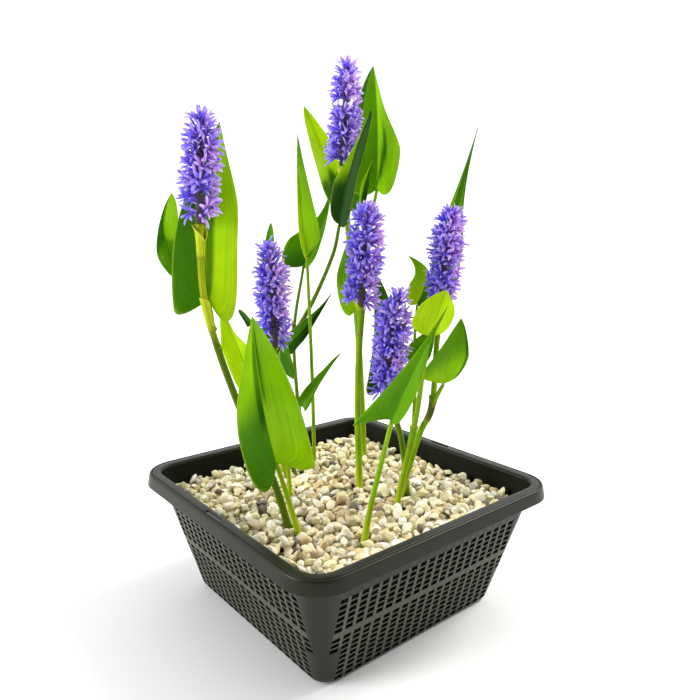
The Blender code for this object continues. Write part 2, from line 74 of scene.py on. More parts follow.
# Places in the basket's list of materials; the outer skin takes the one after the inner's
INSIDE_LATTICE, INSIDE_WALL = 1, 3
SHARP_ANGLE = math.radians(40)
BASKET_PLASTIC = (0.018, 0.019, 0.013)
BASKET_GLINT = (1.0, 1.0, 0.86, 1)


def add_node(tree, kind, sockets=None, **settings):
    """Adds a shader node; a socket takes a number, a colour, or another node's output."""
    made = tree.nodes.new("ShaderNode" + kind)
    for name, value in settings.items():
        setattr(made, name, value)
    for name, value in (sockets or {}).items():
        if isinstance(value, bpy.types.NodeSocket):
            tree.links.new(value, made.inputs[name])
        else:
            made.inputs[name].default_value = value
    return made


def maths(tree, operation, first, second=0.0):
    return add_node(tree, "Math", {0: first, 1: second}, operation=operation).outputs[0]


def ranged(tree, value, start, stop, low=0.0, high=1.0, **settings):
    """Turns a value's stretch from start to stop into low to high."""
    sockets = {"Value": value, "From Min": start, "From Max": stop, "To Min": low, "To Max": high}
    return add_node(tree, "MapRange", sockets, **settings).outputs[0]


def as_colour(value):
    return value if isinstance(value, bpy.types.NodeSocket) else (*value, 1)


def mix_colours(tree, share, first, second, blend="MIX"):
    """A colour between two others; colours are three numbers or sockets."""
    sockets = {0: share, 6: as_colour(first), 7: as_colour(second)}
    return add_node(tree, "Mix", sockets, data_type="RGBA", blend_type=blend).outputs[2]


def tinted(tree, colour, tint):
    return mix_colours(tree, 1.0, colour, tint, blend="MULTIPLY")


NUMBER = "NodeSocketFloat"
VECTOR = "NodeSocketVector"


def effect_group(name, takes, gives):
    """A node group with named inputs, with their first values, and named outputs."""
    tree = bpy.data.node_groups.new(name, "ShaderNodeTree")
    for label, kind, value in takes:
        socket = tree.interface.new_socket(label, in_out="INPUT", socket_type=kind)
        if value is not None:
            socket.default_value = value
    for label in gives:
        tree.interface.new_socket(label, in_out="OUTPUT", socket_type=NUMBER)
    start = tree.nodes.new("NodeGroupInput")
    end = tree.nodes.new("NodeGroupOutput")
    return tree, start.outputs, end.inputs


def new_material(name, roughness, gloss=0.5):
    """A material with its Principled shader; gloss is the shader's specular level."""
    material = bpy.data.materials.new(name)
    material.use_nodes = True
    tree = material.node_tree
    shader = tree.nodes["Principled BSDF"]
    shader.inputs["Roughness"].default_value = roughness
    shader.inputs["Specular IOR Level"].default_value = gloss
    return material, tree, shader


def make_grain_group():
    """Fine moulded or mineral grain: a fine height, and slow patches of tone from 0 to 1."""
    takes = [("Place", VECTOR, None), ("Grain Size", NUMBER, 0.001), ("Patch Size", NUMBER, 0.02)]
    tree, given, result = effect_group("grain_and_patches", takes, ["Height", "Patches"])
    for size, detail, output in (("Grain Size", 3.0, "Height"), ("Patch Size", 4.0, "Patches")):
        scale = maths(tree, "DIVIDE", 1.0, given[size])
        sockets = {"Vector": given["Place"], "Scale": scale, "Detail": detail}
        noise = add_node(tree, "TexNoise", sockets)
        tree.links.new(noise.outputs["Fac"], result[output])
    return tree


grain_group = make_grain_group()


def own_place(tree):
    return add_node(tree, "TexCoord").outputs["Object"]


def grain_on(tree, grain_size, patch_size):
    """The grain group's outputs in the piece's own coordinates, with sizes in mm."""
    sockets = {"Place": own_place(tree), "Grain Size": grain_size * MM,
               "Patch Size": patch_size * MM}
    return add_node(tree, "Group", sockets, node_tree=grain_group).outputs


def set_skin(tree, shader, colour, height, depth):
    """Gives the shader a colour, and a bump that is depth mm deep."""
    tree.links.new(colour, shader.inputs["Base Color"])
    made = add_node(tree, "Bump", {"Height": height, "Distance": depth * MM, "Strength": 1.0})
    tree.links.new(made.outputs["Normal"], shader.inputs["Normal"])


def make_basket_plastic(name, roughness, gloss, tone):
    """The moulded plastic, its dull inner face, which is darker as painted shade, or the lattice
    between the holes, which is paler as a painted sheen of light on its bars. tone is how light
    it is.
    """
    material, tree, shader = new_material(name, roughness, gloss)
    shader.inputs["Specular Tint"].default_value = BASKET_GLINT
    grain = grain_on(tree, 0.7, 24)
    dull = tuple(0.72 * tone * part for part in BASKET_PLASTIC)
    light = tuple(1.25 * tone * part for part in BASKET_PLASTIC)
    colour = mix_colours(tree, grain["Patches"], dull, light)
    rough = ranged(tree, grain["Patches"], 0.0, 1.0, roughness, roughness + 0.12)
    tree.links.new(rough, shader.inputs["Roughness"])
    set_skin(tree, shader, colour, grain["Height"], 0.05)
    return material


def add_object(name, data):
    made = bpy.data.objects.new(name, data)
    bpy.context.scene.collection.objects.link(made)
    return made


def object_from(bm, name, material):
    """A smooth mesh object from a bmesh, with sharp edges where it turns sharply."""
    mesh = bpy.data.meshes.new(name)
    bm.to_mesh(mesh)
    bm.free()
    mesh.shade_smooth()
    mesh.set_sharp_from_angle(angle=SHARP_ANGLE)
    mesh.materials.append(material)
    return add_object(name, mesh)


def stands_for(piece, slot, *nodes):
    """The piece rides with the one body, and takes the place of the named solids."""
    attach(piece, "root")
    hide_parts(*nodes)


def wall_half(z):
    """Half-width in mm of the outer wall face at a height in mm."""
    return WALL_HALF_LOW + (WALL_HALF_HIGH - WALL_HALF_LOW) * (z - WALL_LOW) / WALL_RISE


def wall_radius(z):
    """Corner radius in mm of the outer wall face at a height in mm."""
    return CORNER_RADIUS + CORNER_RADIUS_GROWS * z / WALL_TOP


def wall_lengths(half, radius):
    """Arc lengths along half a wall: the edges of the holes, then on to the corner's middle."""
    lengths = []
    for column in range(HOLE_COLUMNS // 2):
        centre = (column + 0.5) * HOLE_PITCH
        lengths += [centre - HOLE_WIDTH / 2, centre + HOLE_WIDTH / 2]
    end = half - radius + radius * math.pi / 4
    last = lengths[-3]
    squeeze = min(1.0, (end - last - 1 * MM) / (12 * MM))
    lengths[-2:] = [last + (length - last) * squeeze for length in lengths[-2:]]
    rest = end - lengths[-1]
    return lengths + [lengths[-1] + rest * (k + 1) / CORNER_STEPS for k in range(CORNER_STEPS)]


def ring_round(half, radius, z):
    """Points round the basket at a height, four like walls, counter-clockwise from above."""
    lengths = wall_lengths(half, radius)
    lengths = [-length for length in reversed(lengths[:-1])] + lengths
    straight = half - radius
    points = []
    for wall in range(4):
        turn = Matrix.Rotation(wall * math.pi / 2, 3, "Z")
        for length in lengths:
            side = math.copysign(1.0, length)
            over = max(abs(length) - straight, 0.0) / radius
            x = side * (min(abs(length), straight) + radius * math.sin(over))
            y = -(straight + radius * math.cos(over))
            points.append(turn @ Vector((x, y, z)))
    return points


def basket_sections():
    """Half-width, corner radius and height in mm up the inner skin, over the rim, down the lip.

    The fourth value says whether the strip above that height has holes or a slot.
    """
    sections = [(77.6, 9.6, FLOOR_TOP, ""), (79.6, 10.2, 2.2, ""), (80.5, 10.3, 3.1, "")]
    for band in (LOWER_HOLES, UPPER_HOLES):
        for row in reversed(range(band["rows"])):
            centre = band["highest"] - band["pitch"] * row
            kind = "short holes" if centre < SHORT_ROWS_UNDER else "holes"
            for z, strip in ((centre - band["tall"] / 2, kind), (centre + band["tall"] / 2, "")):
                half = wall_half(z) - WALL / MM
                sections.append((half, wall_radius(z) - WALL / MM, z, strip))
    rim = [
        (RIM_FROM, 90.5), (104.0, 93.0), (104.4, 94.2), (105.2, 94.9), (106.1, 95.0),
        (SLOT_AT, 95.0), (110.4, 95.0), (110.9, 94.9), (111.1, 94.1), (111.5, 94.1),
        (111.8, 94.9), (112.5, 95.0), (113.0, 94.7), (113.4, 94.0), (113.7, 92.6),
        (114.9, 86.6), (115.0, 85.9),
    ]
    for half, z in rim:
        radius = RIM_RADIUS + (half - RIM_FROM) * RIM_RADIUS_GROWS / RIM_OUT
        sections.append((half, radius, z, "slot" if half == SLOT_AT else ""))
    return sections


def fill_floor(bm, ring):
    """The floor inside the lowest ring, with six slots on each side of its plain middle."""
    edges = [bm.edges.get((a, b)) for a, b in zip(ring, ring[1:] + ring[:1])]
    low, high = FLOOR_SLOTS["reach"]
    for row in FLOOR_SLOTS["rows"]:
        front, back = row - FLOOR_SLOTS["wide"] / 2, row + FLOOR_SLOTS["wide"] / 2
        for near, far in ((low, high), (-high, -low)):
            spots = ((near, front), (far, front), (far, back), (near, back))
            loop = [bm.verts.new((x * MM, y * MM, FLOOR_TOP * MM)) for x, y in spots]
            edges += [bm.edges.new(pair) for pair in zip(loop, loop[1:] + loop[:1])]
    filled = bmesh.ops.triangle_fill(bm, use_beauty=True, edges=edges)
    faces = [item for item in filled["geom"] if isinstance(item, bmesh.types.BMFace)]
    bm.normal_update()
    bmesh.ops.reverse_faces(bm, faces=[face for face in faces if face.normal.z < 0])


def basket_skin():
    """The basket's inner skin, then over the rim and down the lip, with its holes open."""
    bm = bmesh.new()
    sections = basket_sections()
    rings = []
    for half, radius, z, _ in sections:
        points = ring_round(half * MM, radius * MM, z * MM)
        rings.append([bm.verts.new(point) for point in points])
    count = len(rings[0])
    on_wall = count // 4
    for i, (low, high) in enumerate(zip(rings, rings[1:])):
        half, _, height, strip = sections[i]
        inside = sections[i + 1][2] < INSIDE_UNDER and half < RIM_INSIDE
        row = "short holes" if height < SHORT_ROWS_UNDER else "holes"
        between = LATTICE_HEIGHTS[0] < height < LATTICE_HEIGHTS[1]
        for a in range(count):
            place = a % on_wall
            off_middle = abs(place - MIDDLE_FACE)
            if place % 2 == 1 and off_middle <= FACES_TO_LAST_HOLE.get(strip, -1):
                continue
            if strip == "slot" and (a // on_wall) % 2 == 0 and place in SLOT_FACES:
                continue
            b = (a + 1) % count
            face = bm.faces.new((low[a], high[a], high[b], low[b]))
            if inside:
                lattice = between and off_middle <= FACES_TO_LAST_HOLE[row]
                face.material_index = INSIDE_LATTICE if lattice else INSIDE_WALL
    fill_floor(bm, rings[0])
    loose = [vert for vert in bm.verts if not vert.link_faces]
    bmesh.ops.delete(bm, geom=loose, context="VERTS")
    return bm


def make_basket():
    """The skin, thickened on its back into a wall whose edges are a little rounded."""
    plastic = make_basket_plastic("basket_plastic", 0.26, 0.18, 0.75)
    basket = object_from(basket_skin(), "basket_moulding", plastic)
    # The inner face's low tone is painted shade, for the shade inside the basket.
    inside = make_basket_plastic("basket_inside_painted_shade", 0.45, 0.06, 0.5)
    # The lattice's much paler tone is a painted sheen: it paints the light that catches its bars.
    lattice = make_basket_plastic("basket_lattice_painted_sheen", 0.36, 0.34, 2.9)
    for material in (inside, lattice, inside, plastic):
        basket.data.materials.append(material)
    shell = basket.modifiers.new("wall", "SOLIDIFY")
    shell.thickness = WALL
    shell.offset = -1.0
    shell.material_offset = 1
    shell.use_even_offset = True
    soft = basket.modifiers.new("soft_edges", "BEVEL")
    soft.width = 0.28 * MM
    soft.segments = 2
    soft.limit_method = "ANGLE"
    soft.angle_limit = math.radians(50)
    soft.use_clamp_overlap = False
    return basket


basket = make_basket()
stands_for(basket, "basket_plastic", "basket")


# The soil: dark crumbly aquatic soil, packed against the inside of the walls so that it
# fills the holes from behind. It is poured in, so its face is lumps and crumbs.
SOIL_FOOT = 2.6
SOIL_ROWS_FROM = 4.0
SOIL_TOP = 67.0
SOIL_STEP = 2.0
SOIL_COLUMNS = 300
SOIL_BLACK = (0.016, 0.013, 0.010)
SOIL_CRUMB = (0.075, 0.058, 0.042)


def square_point(share, half, radius):
    """A point on a rounded square, a share of the way round it."""
    straight = 2 * (half - radius)
    arc = radius * math.pi / 2
    side = straight + arc
    quarter = int(share * 4) % 4
    along = (share * 4 - int(share * 4)) * side
    if along < straight:
        point = Vector((along - straight / 2, -half, 0))
    else:
        angle = (along - straight) / radius
        x = straight / 2 + radius * math.sin(angle)
        y = -(half - radius) - radius * math.cos(angle)
        point = Vector((x, y, 0))
    return Matrix.Rotation(quarter * math.pi / 2, 3, "Z") @ point


def make_soil_material():
    material, tree, shader = new_material("wet_soil", 0.95, gloss=0.2)
    grain = grain_on(tree, 0.9, 3)
    crumbs = ranged(tree, grain["Patches"], 0.5, 0.75)
    colour = mix_colours(tree, crumbs, SOIL_BLACK, SOIL_CRUMB)
    set_skin(tree, shader, colour, grain["Height"], 0.8)
    return material


def make_soil():
    draw = random.Random(11)
    bm = bmesh.new()
    rings = []
    rows = int((SOIL_TOP - SOIL_ROWS_FROM) / SOIL_STEP) + 1
    heights = [SOIL_FOOT] + [SOIL_ROWS_FROM + SOIL_STEP * row for row in range(rows)]
    for z in heights:
        half = wall_half(z) - WALL / MM
        ring = []
        for column in range(SOIL_COLUMNS):
            inward = 0.5 + 1.5 * draw.random() ** 2
            share = (column + draw.uniform(-0.3, 0.3)) / SOIL_COLUMNS % 1.0
            point = square_point(share, half - inward, wall_radius(z) - WALL / MM)
            point.z = z + draw.uniform(-0.4, 0.4)
            ring.append(bm.verts.new(point * MM))
        rings.append(ring)
    for low, high in zip(rings, rings[1:]):
        for a in range(SOIL_COLUMNS):
            b = (a + 1) % SOIL_COLUMNS
            bm.faces.new((low[a], low[b], high[b], high[a]))
    bm.faces.new(reversed(rings[0]))
    bm.faces.new(rings[-1])
    return object_from(bm, "soil_crumbs", make_soil_material())


stands_for(make_soil(), "soil", "soil")


# The gravel: a bed of pale river stones of 5 to 8 mm, cream and ivory with some yellow, grey,
# pink and brown ones. They are poured over the soil, a little heaped in the middle, and the
# stems come up between them.
SURFACE = 81.0
GRAVEL_LOW = 80.2
STONE_FORMS = 28
STONE_CUTS = 11
STONE_SPACING = 7.3
STONE_JITTER = 0.28
ROW_SPACING = 0.87
STONE_SIZES = (3.1, 5.1)
STONE_FLATTENED = 0.85
CLEAR_OF_STEMS = 4.0
BED_CORNER = 11
BEHIND_WALLS = {"count": 72, "heights": (69.0, 76.5), "reach": 78, "off": 3.4, "size": 2.6}
# Round the middle, under the plant, more stones take the brown tones, as painted shade of the
# plant.
BROWN_SHADE_MIDDLE = {"x": -5, "y": 15, "reach": 42, "share": 0.32}
BROWN_SHADE_FROM, BROWN_SHADE_RANGE = 0.80, 0.16
STEM_FEET = {
    "flower_stem_1": (15, -61), "flower_stem_2": (-63, -11), "flower_stem_3": (-48, 64),
    "flower_stem_4": (0, 18), "flower_stem_5": (31, 33), "flower_stem_6": (26, 44),
    "leaf_stalk_3": (-23, -32), "leaf_stalk_4": (29, -62), "leaf_stalk_5": (-61, -2),
    "leaf_stalk_6": (-69, 25), "leaf_stalk_7": (-69, 13), "leaf_stalk_8": (-78, 2),
    "leaf_stalk_9": (-58, 8), "leaf_stalk_15": (68, -36), "leaf_stalk_16": (38, 23),
}


def solid_bed():
    """The solid bed's faces, to measure the height of its top."""
    node = bpy.data.objects["gravel"]
    corners = [node.matrix_world @ corner.co for corner in node.data.vertices]
    return BVHTree.FromPolygons(corners, [face.vertices for face in node.data.polygons])


BED = solid_bed()


def bed_height(x, y):
    """Height in mm of the solid bed's top over a point in mm, its stem holes left aside."""
    place = BED.ray_cast(Vector((x, y, 120)) * MM, Vector((0, 0, -1)))[0]
    return max(place.z / MM, GRAVEL_LOW) if place else GRAVEL_LOW


def stone_form(draw, subdivisions):
    """A pebble: a ball cut by random planes, which leaves rounded corners between flats."""
    bm = bmesh.new()
    bmesh.ops.create_icosphere(bm, subdivisions=subdivisions, radius=1.0)
    points = np.array([vert.co[:] for vert in bm.verts])
    faces = np.array([[vert.index for vert in face.verts] for face in bm.faces])
    bm.free()
    for _ in range(STONE_CUTS):
        away = np.array([draw.gauss(0, 1) for _ in range(3)])
        away /= np.linalg.norm(away)
        over = np.maximum(points @ away - draw.uniform(0.45, 0.82), 0)
        points -= 0.96 * over[:, None] * away
    shape = (draw.uniform(1.05, 1.4), draw.uniform(0.85, 1.05), draw.uniform(0.60, 0.85))
    return points * np.array(shape), faces


def stone_spots(spacing, drop, inset, draw):
    """Places for one layer of stones, in jittered rows, clear of the stems."""
    spots = []
    row = 0
    limit = wall_half(GRAVEL_LOW - drop) - WALL / MM - inset
    y = -limit
    while y <= limit:
        x = -limit + (row % 2) * spacing / 2
        while x <= limit:
            a = x + draw.uniform(-STONE_JITTER, STONE_JITTER) * spacing
            b = y + draw.uniform(-STONE_JITTER, STONE_JITTER) * spacing
            past = [max(abs(value) - limit + BED_CORNER, 0) for value in (a, b)]
            inside = max(abs(a), abs(b)) <= limit and past[0]**2 + past[1]**2 <= BED_CORNER**2
            feet = STEM_FEET.values()
            if inside and all(math.hypot(a - u, b - v) > CLEAR_OF_STEMS for u, v in feet):
                spots.append((a, b, bed_height(a, b) - drop))
            x += spacing
        y += spacing * ROW_SPACING
        row += 1
    return spots


def merge(parts):
    """One array of points and one of faces, from parts that begin with their own."""
    starts = np.cumsum([0] + [len(part[0]) for part in parts])
    faces = [part[1] + start for part, start in zip(parts, starts)]
    return np.concatenate([part[0] for part in parts]), np.concatenate(faces)


def join_copies(name, copies, material):
    """One smooth mesh from many (points in mm, faces, values), its values on its points."""
    points, faces = merge(copies)
    mesh = bpy.data.meshes.new(name)
    mesh.from_pydata((points * MM).tolist(), [], faces.tolist())
    for label in copies[0][2]:
        value = [np.broadcast_to(copy[2][label], len(copy[0])) for copy in copies]
        layer = mesh.attributes.new(label, "FLOAT", "POINT")
        layer.data.foreach_set("value", np.concatenate(value))
    mesh.materials.append(material)
    mesh.shade_smooth()
    return add_object(name, mesh)


def make_stone_material():
    material, tree, shader = new_material("river_stone", 0.72, gloss=0.35)
    shade = add_node(tree, "Attribute", attribute_name="shade").outputs["Fac"]
    ramp = add_node(tree, "ValToRGB", {"Fac": shade})
    ramp.color_ramp.interpolation = "CONSTANT"
    tints = (
        (0.00, (0.78, 0.71, 0.46)), (0.16, (0.86, 0.83, 0.66)), (0.32, (0.74, 0.66, 0.40)),
        (0.44, (0.92, 0.90, 0.78)), (0.58, (0.76, 0.71, 0.40)), (0.68, (0.60, 0.56, 0.42)),
        (0.76, (0.84, 0.76, 0.54)), (0.86, (0.64, 0.50, 0.26)), (0.92, (0.44, 0.36, 0.22)),
        (0.97, (0.17, 0.15, 0.12)),
    )
    stops = ramp.color_ramp.elements
    while len(stops) < len(tints):
        stops.new(1.0)
    for stop, (place, tint) in zip(stops, tints):
        stop.position = place
        stop.color = (*tint, 1)
    grain = grain_on(tree, 0.6, 2.4)
    stain = ranged(tree, grain["Patches"], 0.35, 0.7, 0.0, 0.45)
    darker = tinted(tree, ramp.outputs[0], (0.78, 0.66, 0.50))
    colour = mix_colours(tree, stain, ramp.outputs[0], darker)
    set_skin(tree, shader, colour, grain["Height"], 0.25)
    return material


def stones_behind_walls(forms, draw):
    """Small stones among the soil, which show through the upper holes."""
    copies = []
    for k in range(BEHIND_WALLS["count"]):
        z = draw.uniform(*BEHIND_WALLS["heights"])
        along = draw.uniform(-BEHIND_WALLS["reach"], BEHIND_WALLS["reach"])
        out = wall_half(z) - WALL / MM - BEHIND_WALLS["off"]
        x, y = ((along, -out), (out, along), (along, out), (-out, along))[k % 4]
        points, faces = draw.choice(forms)
        placed = points * BEHIND_WALLS["size"] + np.array((x, y, z))
        copies.append((placed, faces, {"shade": draw.random()}))
    return copies


def make_gravel():
    draw = random.Random(7)
    material = make_stone_material()
    # Name, how deep its stones' middles lie, how far they keep off the wall, and fineness
    layers = (
        ("gravel_top_stones", 2.2, 2.8, 2),
        ("gravel_middle_stones", 6.0, 2.8, 2),
        ("gravel_lower_stones", 10.5, 3.0, 1),
    )
    for name, drop, inset, subdivisions in layers:
        forms = [stone_form(draw, subdivisions) for _ in range(STONE_FORMS)]
        copies = []
        for x, y, z in stone_spots(STONE_SPACING, drop, inset, draw):
            points, faces = draw.choice(forms)
            size = draw.uniform(*STONE_SIZES)
            spin = Quaternion([draw.gauss(0, 1) for _ in range(4)]).normalized().to_matrix()
            turned = points @ np.array(spin).T @ np.diag((1.0, 1.0, STONE_FLATTENED))
            place = np.array((x, y, z + draw.uniform(-0.8, 0.8)))
            shade = draw.random()
            # Painted shade: stones under the plant's middle often take the darker brown tones.
            from_middle = math.hypot(x - BROWN_SHADE_MIDDLE["x"], y - BROWN_SHADE_MIDDLE["y"])
            if from_middle < BROWN_SHADE_MIDDLE["reach"] and draw.random() < BROWN_SHADE_MIDDLE["share"]:
                shade = BROWN_SHADE_FROM + BROWN_SHADE_RANGE * shade
            copies.append((turned * size + place, faces, {"shade": shade}))
        if name == "gravel_lower_stones":
            copies += stones_behind_walls(forms, draw)
        piece = join_copies(name, copies, material)
        piece.data.set_sharp_from_angle(angle=SHARP_ANGLE)
        stands_for(piece, "gravel", "gravel")


make_gravel()


# The stems: round, slightly ribbed, fleshy green stems and leaf stalks. Some come up through
# the gravel and the others leave a flower stem or a leaf stalk, where a thin sheath wraps
# the joint. They grow in one piece with the plant.
ROOT_DEPTH = 12.5
STEM_SIDES = 18
STEM_RIBS = 6
SWELL_STEPS = 5
ROUTE_STEPS = 12
SOLID_STEPS = 2
GAP = 0.3

# Each stem's route as its solid takes it, and its finer route with its radii
routes = {}
widths = {}


def smooth_route(points, steps):
    """Points along a smooth curve through the given points."""
    ends = [points[0] * 2 - points[1], *points, points[-1] * 2 - points[-2]]
    route = []
    for i in range(1, len(ends) - 2):
        before, start, stop, after = ends[i - 1 : i + 3]
        for step in range(steps):
            t = step / steps
            line = start * 2 + (stop - before) * t
            curve = (before * 2 - start * 5 + stop * 4 - after) * t**2
            twist = (start * 3 - before - stop * 3 + after) * t**3
            route.append((line + curve + twist) / 2)
    route.append(points[-1])
    return route


def square_faces(index):
    """Four-cornered faces between neighbours in a grid of point numbers."""
    corners = [index[:-1, :-1], index[:-1, 1:], index[1:, 1:], index[1:, :-1]]
    return np.stack(corners, -1).reshape(-1, 4)


def mesh_object(name, verts, faces, uvs, material, close=False):
    """A welded mesh with UVs from arrays in mm; a closed one has its open ends filled."""
    mesh = bpy.data.meshes.new(name)
    mesh.from_pydata((verts * MM).tolist(), [], faces.tolist())
    layer = mesh.uv_layers.new(name="UVMap")
    layer.data.foreach_set("uv", uvs[faces.reshape(-1)].reshape(-1))
    bm = bmesh.new()
    bm.from_mesh(mesh)
    bmesh.ops.remove_doubles(bm, verts=bm.verts, dist=0.004 * MM)
    if close:
        bmesh.ops.holes_fill(bm, edges=[edge for edge in bm.edges if edge.is_boundary])
    bmesh.ops.recalc_face_normals(bm, faces=bm.faces)
    bm.to_mesh(mesh)
    bm.free()
    mesh.shade_smooth()
    mesh.materials.append(material)
    return add_object(name, mesh)


def frames_along(route):
    """At each point of a route, its direction and two directions across it, without twist."""
    ahead = [(route[min(i + 1, len(route) - 1)] - route[max(i - 1, 0)]).normalized()
             for i in range(len(route))]
    across = ahead[0].orthogonal().normalized()
    frames = []
    for run in ahead:
        across = (across - run * across.dot(run)).normalized()
        frames.append((run, across, run.cross(across)))
    return frames


def tube_grid(route, radii, ribs=0.035, sides=STEM_SIDES):
    """A ribbed tube round a route, as a grid of points with UVs of (round, length in mm)."""
    points = np.zeros((len(route), sides + 1, 3))
    uv = np.zeros((len(route), sides + 1, 2))
    gone = 0.0
    for i, (centre, (_, across, over)) in enumerate(zip(route, frames_along(route))):
        gone += (route[i] - route[i - 1]).length if i else 0.0
        for k in range(sides + 1):
            angle = 2 * math.pi * k / sides
            rib = 1 + ribs * math.cos(STEM_RIBS * angle)
            reach = (across * math.cos(angle) + over * math.sin(angle)) * radii[i] * rib
            points[i, k] = centre + reach
            uv[i, k] = (k / sides, gone)
    return points, uv


def tube_object(name, route, radii, material):
    """A closed ribbed tube round a route."""
    points, uv = tube_grid(route, radii)
    faces = square_faces(np.arange(uv.shape[0] * uv.shape[1]).reshape(uv.shape[:2]))
    points, uv = points.reshape(-1, 3), uv.reshape(-1, 2)
    return mesh_object(name, points, faces, uv, material, close=True)


def make_lines_group():
    """Fine parallel lines, as veins or ribs: a mask of thin lines, and their height."""
    takes = [("Across", NUMBER, 0.0), ("Count", NUMBER, 10.0), ("Thinness", NUMBER, 4.0)]
    tree, given, result = effect_group("parallel_lines", takes, ["Lines", "Height"])
    turns = maths(tree, "MULTIPLY", given["Across"], given["Count"])
    wave = maths(tree, "COSINE", maths(tree, "MULTIPLY", turns, 2 * math.pi))
    raised = maths(tree, "MULTIPLY", maths(tree, "ADD", wave, 1.0), 0.5)
    tree.links.new(maths(tree, "POWER", raised, given["Thinness"]), result["Lines"])
    tree.links.new(raised, result["Height"])
    return tree


lines_group = make_lines_group()


def lines_on(tree, across, count, thinness):
    sockets = {"Across": across, "Count": count, "Thinness": thinness}
    return add_node(tree, "Group", sockets, node_tree=lines_group).outputs


def uv_parts(tree):
    uv = add_node(tree, "UVMap", uv_map="UVMap").outputs[0]
    parts = add_node(tree, "SeparateXYZ", {0: uv})
    return parts.outputs[0], parts.outputs[1]


def make_stem_material(name, light, dark, foot, fade=(82, 112)):
    """Ribbed stem skin: light and dark stripes, patches, and another colour at its foot,
    which fades out between two heights in mm.
    """
    material, tree, shader = new_material(name, 0.42, gloss=0.12)
    round_it, _ = uv_parts(tree)
    ribs = lines_on(tree, round_it, 11.0, 1.5)
    grain = grain_on(tree, 1.2, 14)
    stripes = maths(tree, "MULTIPLY", ribs["Lines"], 0.55)
    patches = maths(tree, "MULTIPLY", grain["Patches"], 0.75)
    skin = mix_colours(tree, maths(tree, "ADD", stripes, patches), dark, light)
    height = add_node(tree, "SeparateXYZ", {0: own_place(tree)}).outputs[2]
    low = ranged(tree, height, fade[0] * MM, fade[1] * MM, 0.85, 0.0)
    skin = mix_colours(tree, low, skin, foot)
    set_skin(tree, shader, skin, ribs["Height"], 0.12)
    shader.inputs["Subsurface Weight"].default_value = 0.12
    shader.inputs["Subsurface Radius"].default_value = (0.8 * MM, 1.6 * MM, 0.3 * MM)
    shader.inputs["Subsurface Scale"].default_value = 1.0
    return material


STEM_SKIN = make_stem_material(
    "stem_skin", (0.27, 0.46, 0.0), (0.08, 0.21, 0.0), (0.36, 0.46, 0.01))
# A darker copy of the stem skin, as painted shade, for the stems that stand in shade behind the
# leaves and spikes.
SHADED_STEM_SKIN = make_stem_material(
    "dark_stem_skin", (0.15, 0.26, 0.0), (0.045, 0.10, 0.002), (0.22, 0.30, 0.01))
TWO_TONE_STEM_SKIN = make_stem_material(
    "two_tone_stem_skin", (0.36, 0.44, 0.0), (0.13, 0.22, 0.0), (0.050, 0.10, 0.0), (204, 218))


def grow(name, points, thick, material, base=1.0):
    """One stem with a solid's name, ending a little inside the leaf or spike on it."""
    fine = smooth_route(points, ROUTE_STEPS)
    count = len(fine) - 1
    radii = [(thick[0] + (thick[1] - thick[0]) * i / count) / 2 for i in range(count + 1)]
    for i in range(SWELL_STEPS):
        radii[i] *= 1 + (base - 1) * (1 - i / SWELL_STEPS) ** 2
    routes[name] = smooth_route(points, SOLID_STEPS)
    widths[name] = (fine, radii)
    skin_name = name.replace("stem", "stem_skin").replace("stalk", "stalk_skin")
    stands_for(tube_object(skin_name, fine, radii, material), "stem", name)


def stem(name, *through, thick, material=STEM_SKIN):
    """A stem that is rooted in the gravel and goes through the points, in mm."""
    points = [Vector((*STEM_FEET[name], SURFACE))] + [Vector(point) for point in through]
    rise = (points[1] - points[0]).normalized()
    root = points[0] - rise * (ROOT_DEPTH / rise.z)
    grow(name, [root] + points, thick, material)


def fork(name, *through, thick, material=STEM_SKIN):
    """A stem that leaves another one: its first point is on the other's middle line."""
    grow(name, [Vector(point) for point in through], thick, material, base=1.5)


stem("flower_stem_1", (6, -66, 111), (-15, -80, 165), (-29, -93, 230), (-25, -97, 284),
     thick=(5.4, 4.6), material=TWO_TONE_STEM_SKIN)
stem("flower_stem_2", (-61, -14, 140), (-59, -19, 188), thick=(4.8, 4.2))
stem("flower_stem_3", (-51, 61, 175), (-54, 53, 262), (-55, 46, 328), thick=(5.6, 4.4))
stem("flower_stem_4", (1, 15, 155), (7, 13, 225), thick=(5.6, 4.4))
stem("flower_stem_5", (40, 42, 128), (44, 51, 150), (37, 62, 192), (36, 66, 226),
     thick=(5.0, 4.0))
stem("flower_stem_6", (26, 41, 105), (28, 33, 131), (27, 20, 161), thick=(4.8, 4.2),
     material=SHADED_STEM_SKIN)
stem("leaf_stalk_3", (-29, -33, 113), (-51, -41, 144), thick=(4.4, 2.4))
stem("leaf_stalk_4", (23, -66, 105), (23, -74, 130), thick=(5.2, 2.8))
stem("leaf_stalk_5", (-69, -2, 122), (-77, -3, 166), thick=(4.0, 2.4), material=SHADED_STEM_SKIN)
stem("leaf_stalk_6", (-67, 22, 165), (-65, 17, 256), thick=(4.0, 2.4))
stem("leaf_stalk_7", (-79, 17, 116), (-97, 25, 187), (-95, 35, 247), thick=(4.4, 2.4),
     material=SHADED_STEM_SKIN)
stem("leaf_stalk_8", (-84, 4, 118), (-94, 9, 174), thick=(4.0, 2.2), material=SHADED_STEM_SKIN)
stem("leaf_stalk_9", (-57, 3, 112), (-54, 0, 137), thick=(4.0, 2.2))
stem("leaf_stalk_15", (70, -31, 108), (79, -23, 162), thick=(5.2, 2.8))
stem("leaf_stalk_16", (45, 33, 143), (50, 34, 177), (55, 35, 206), thick=(5.2, 2.6))
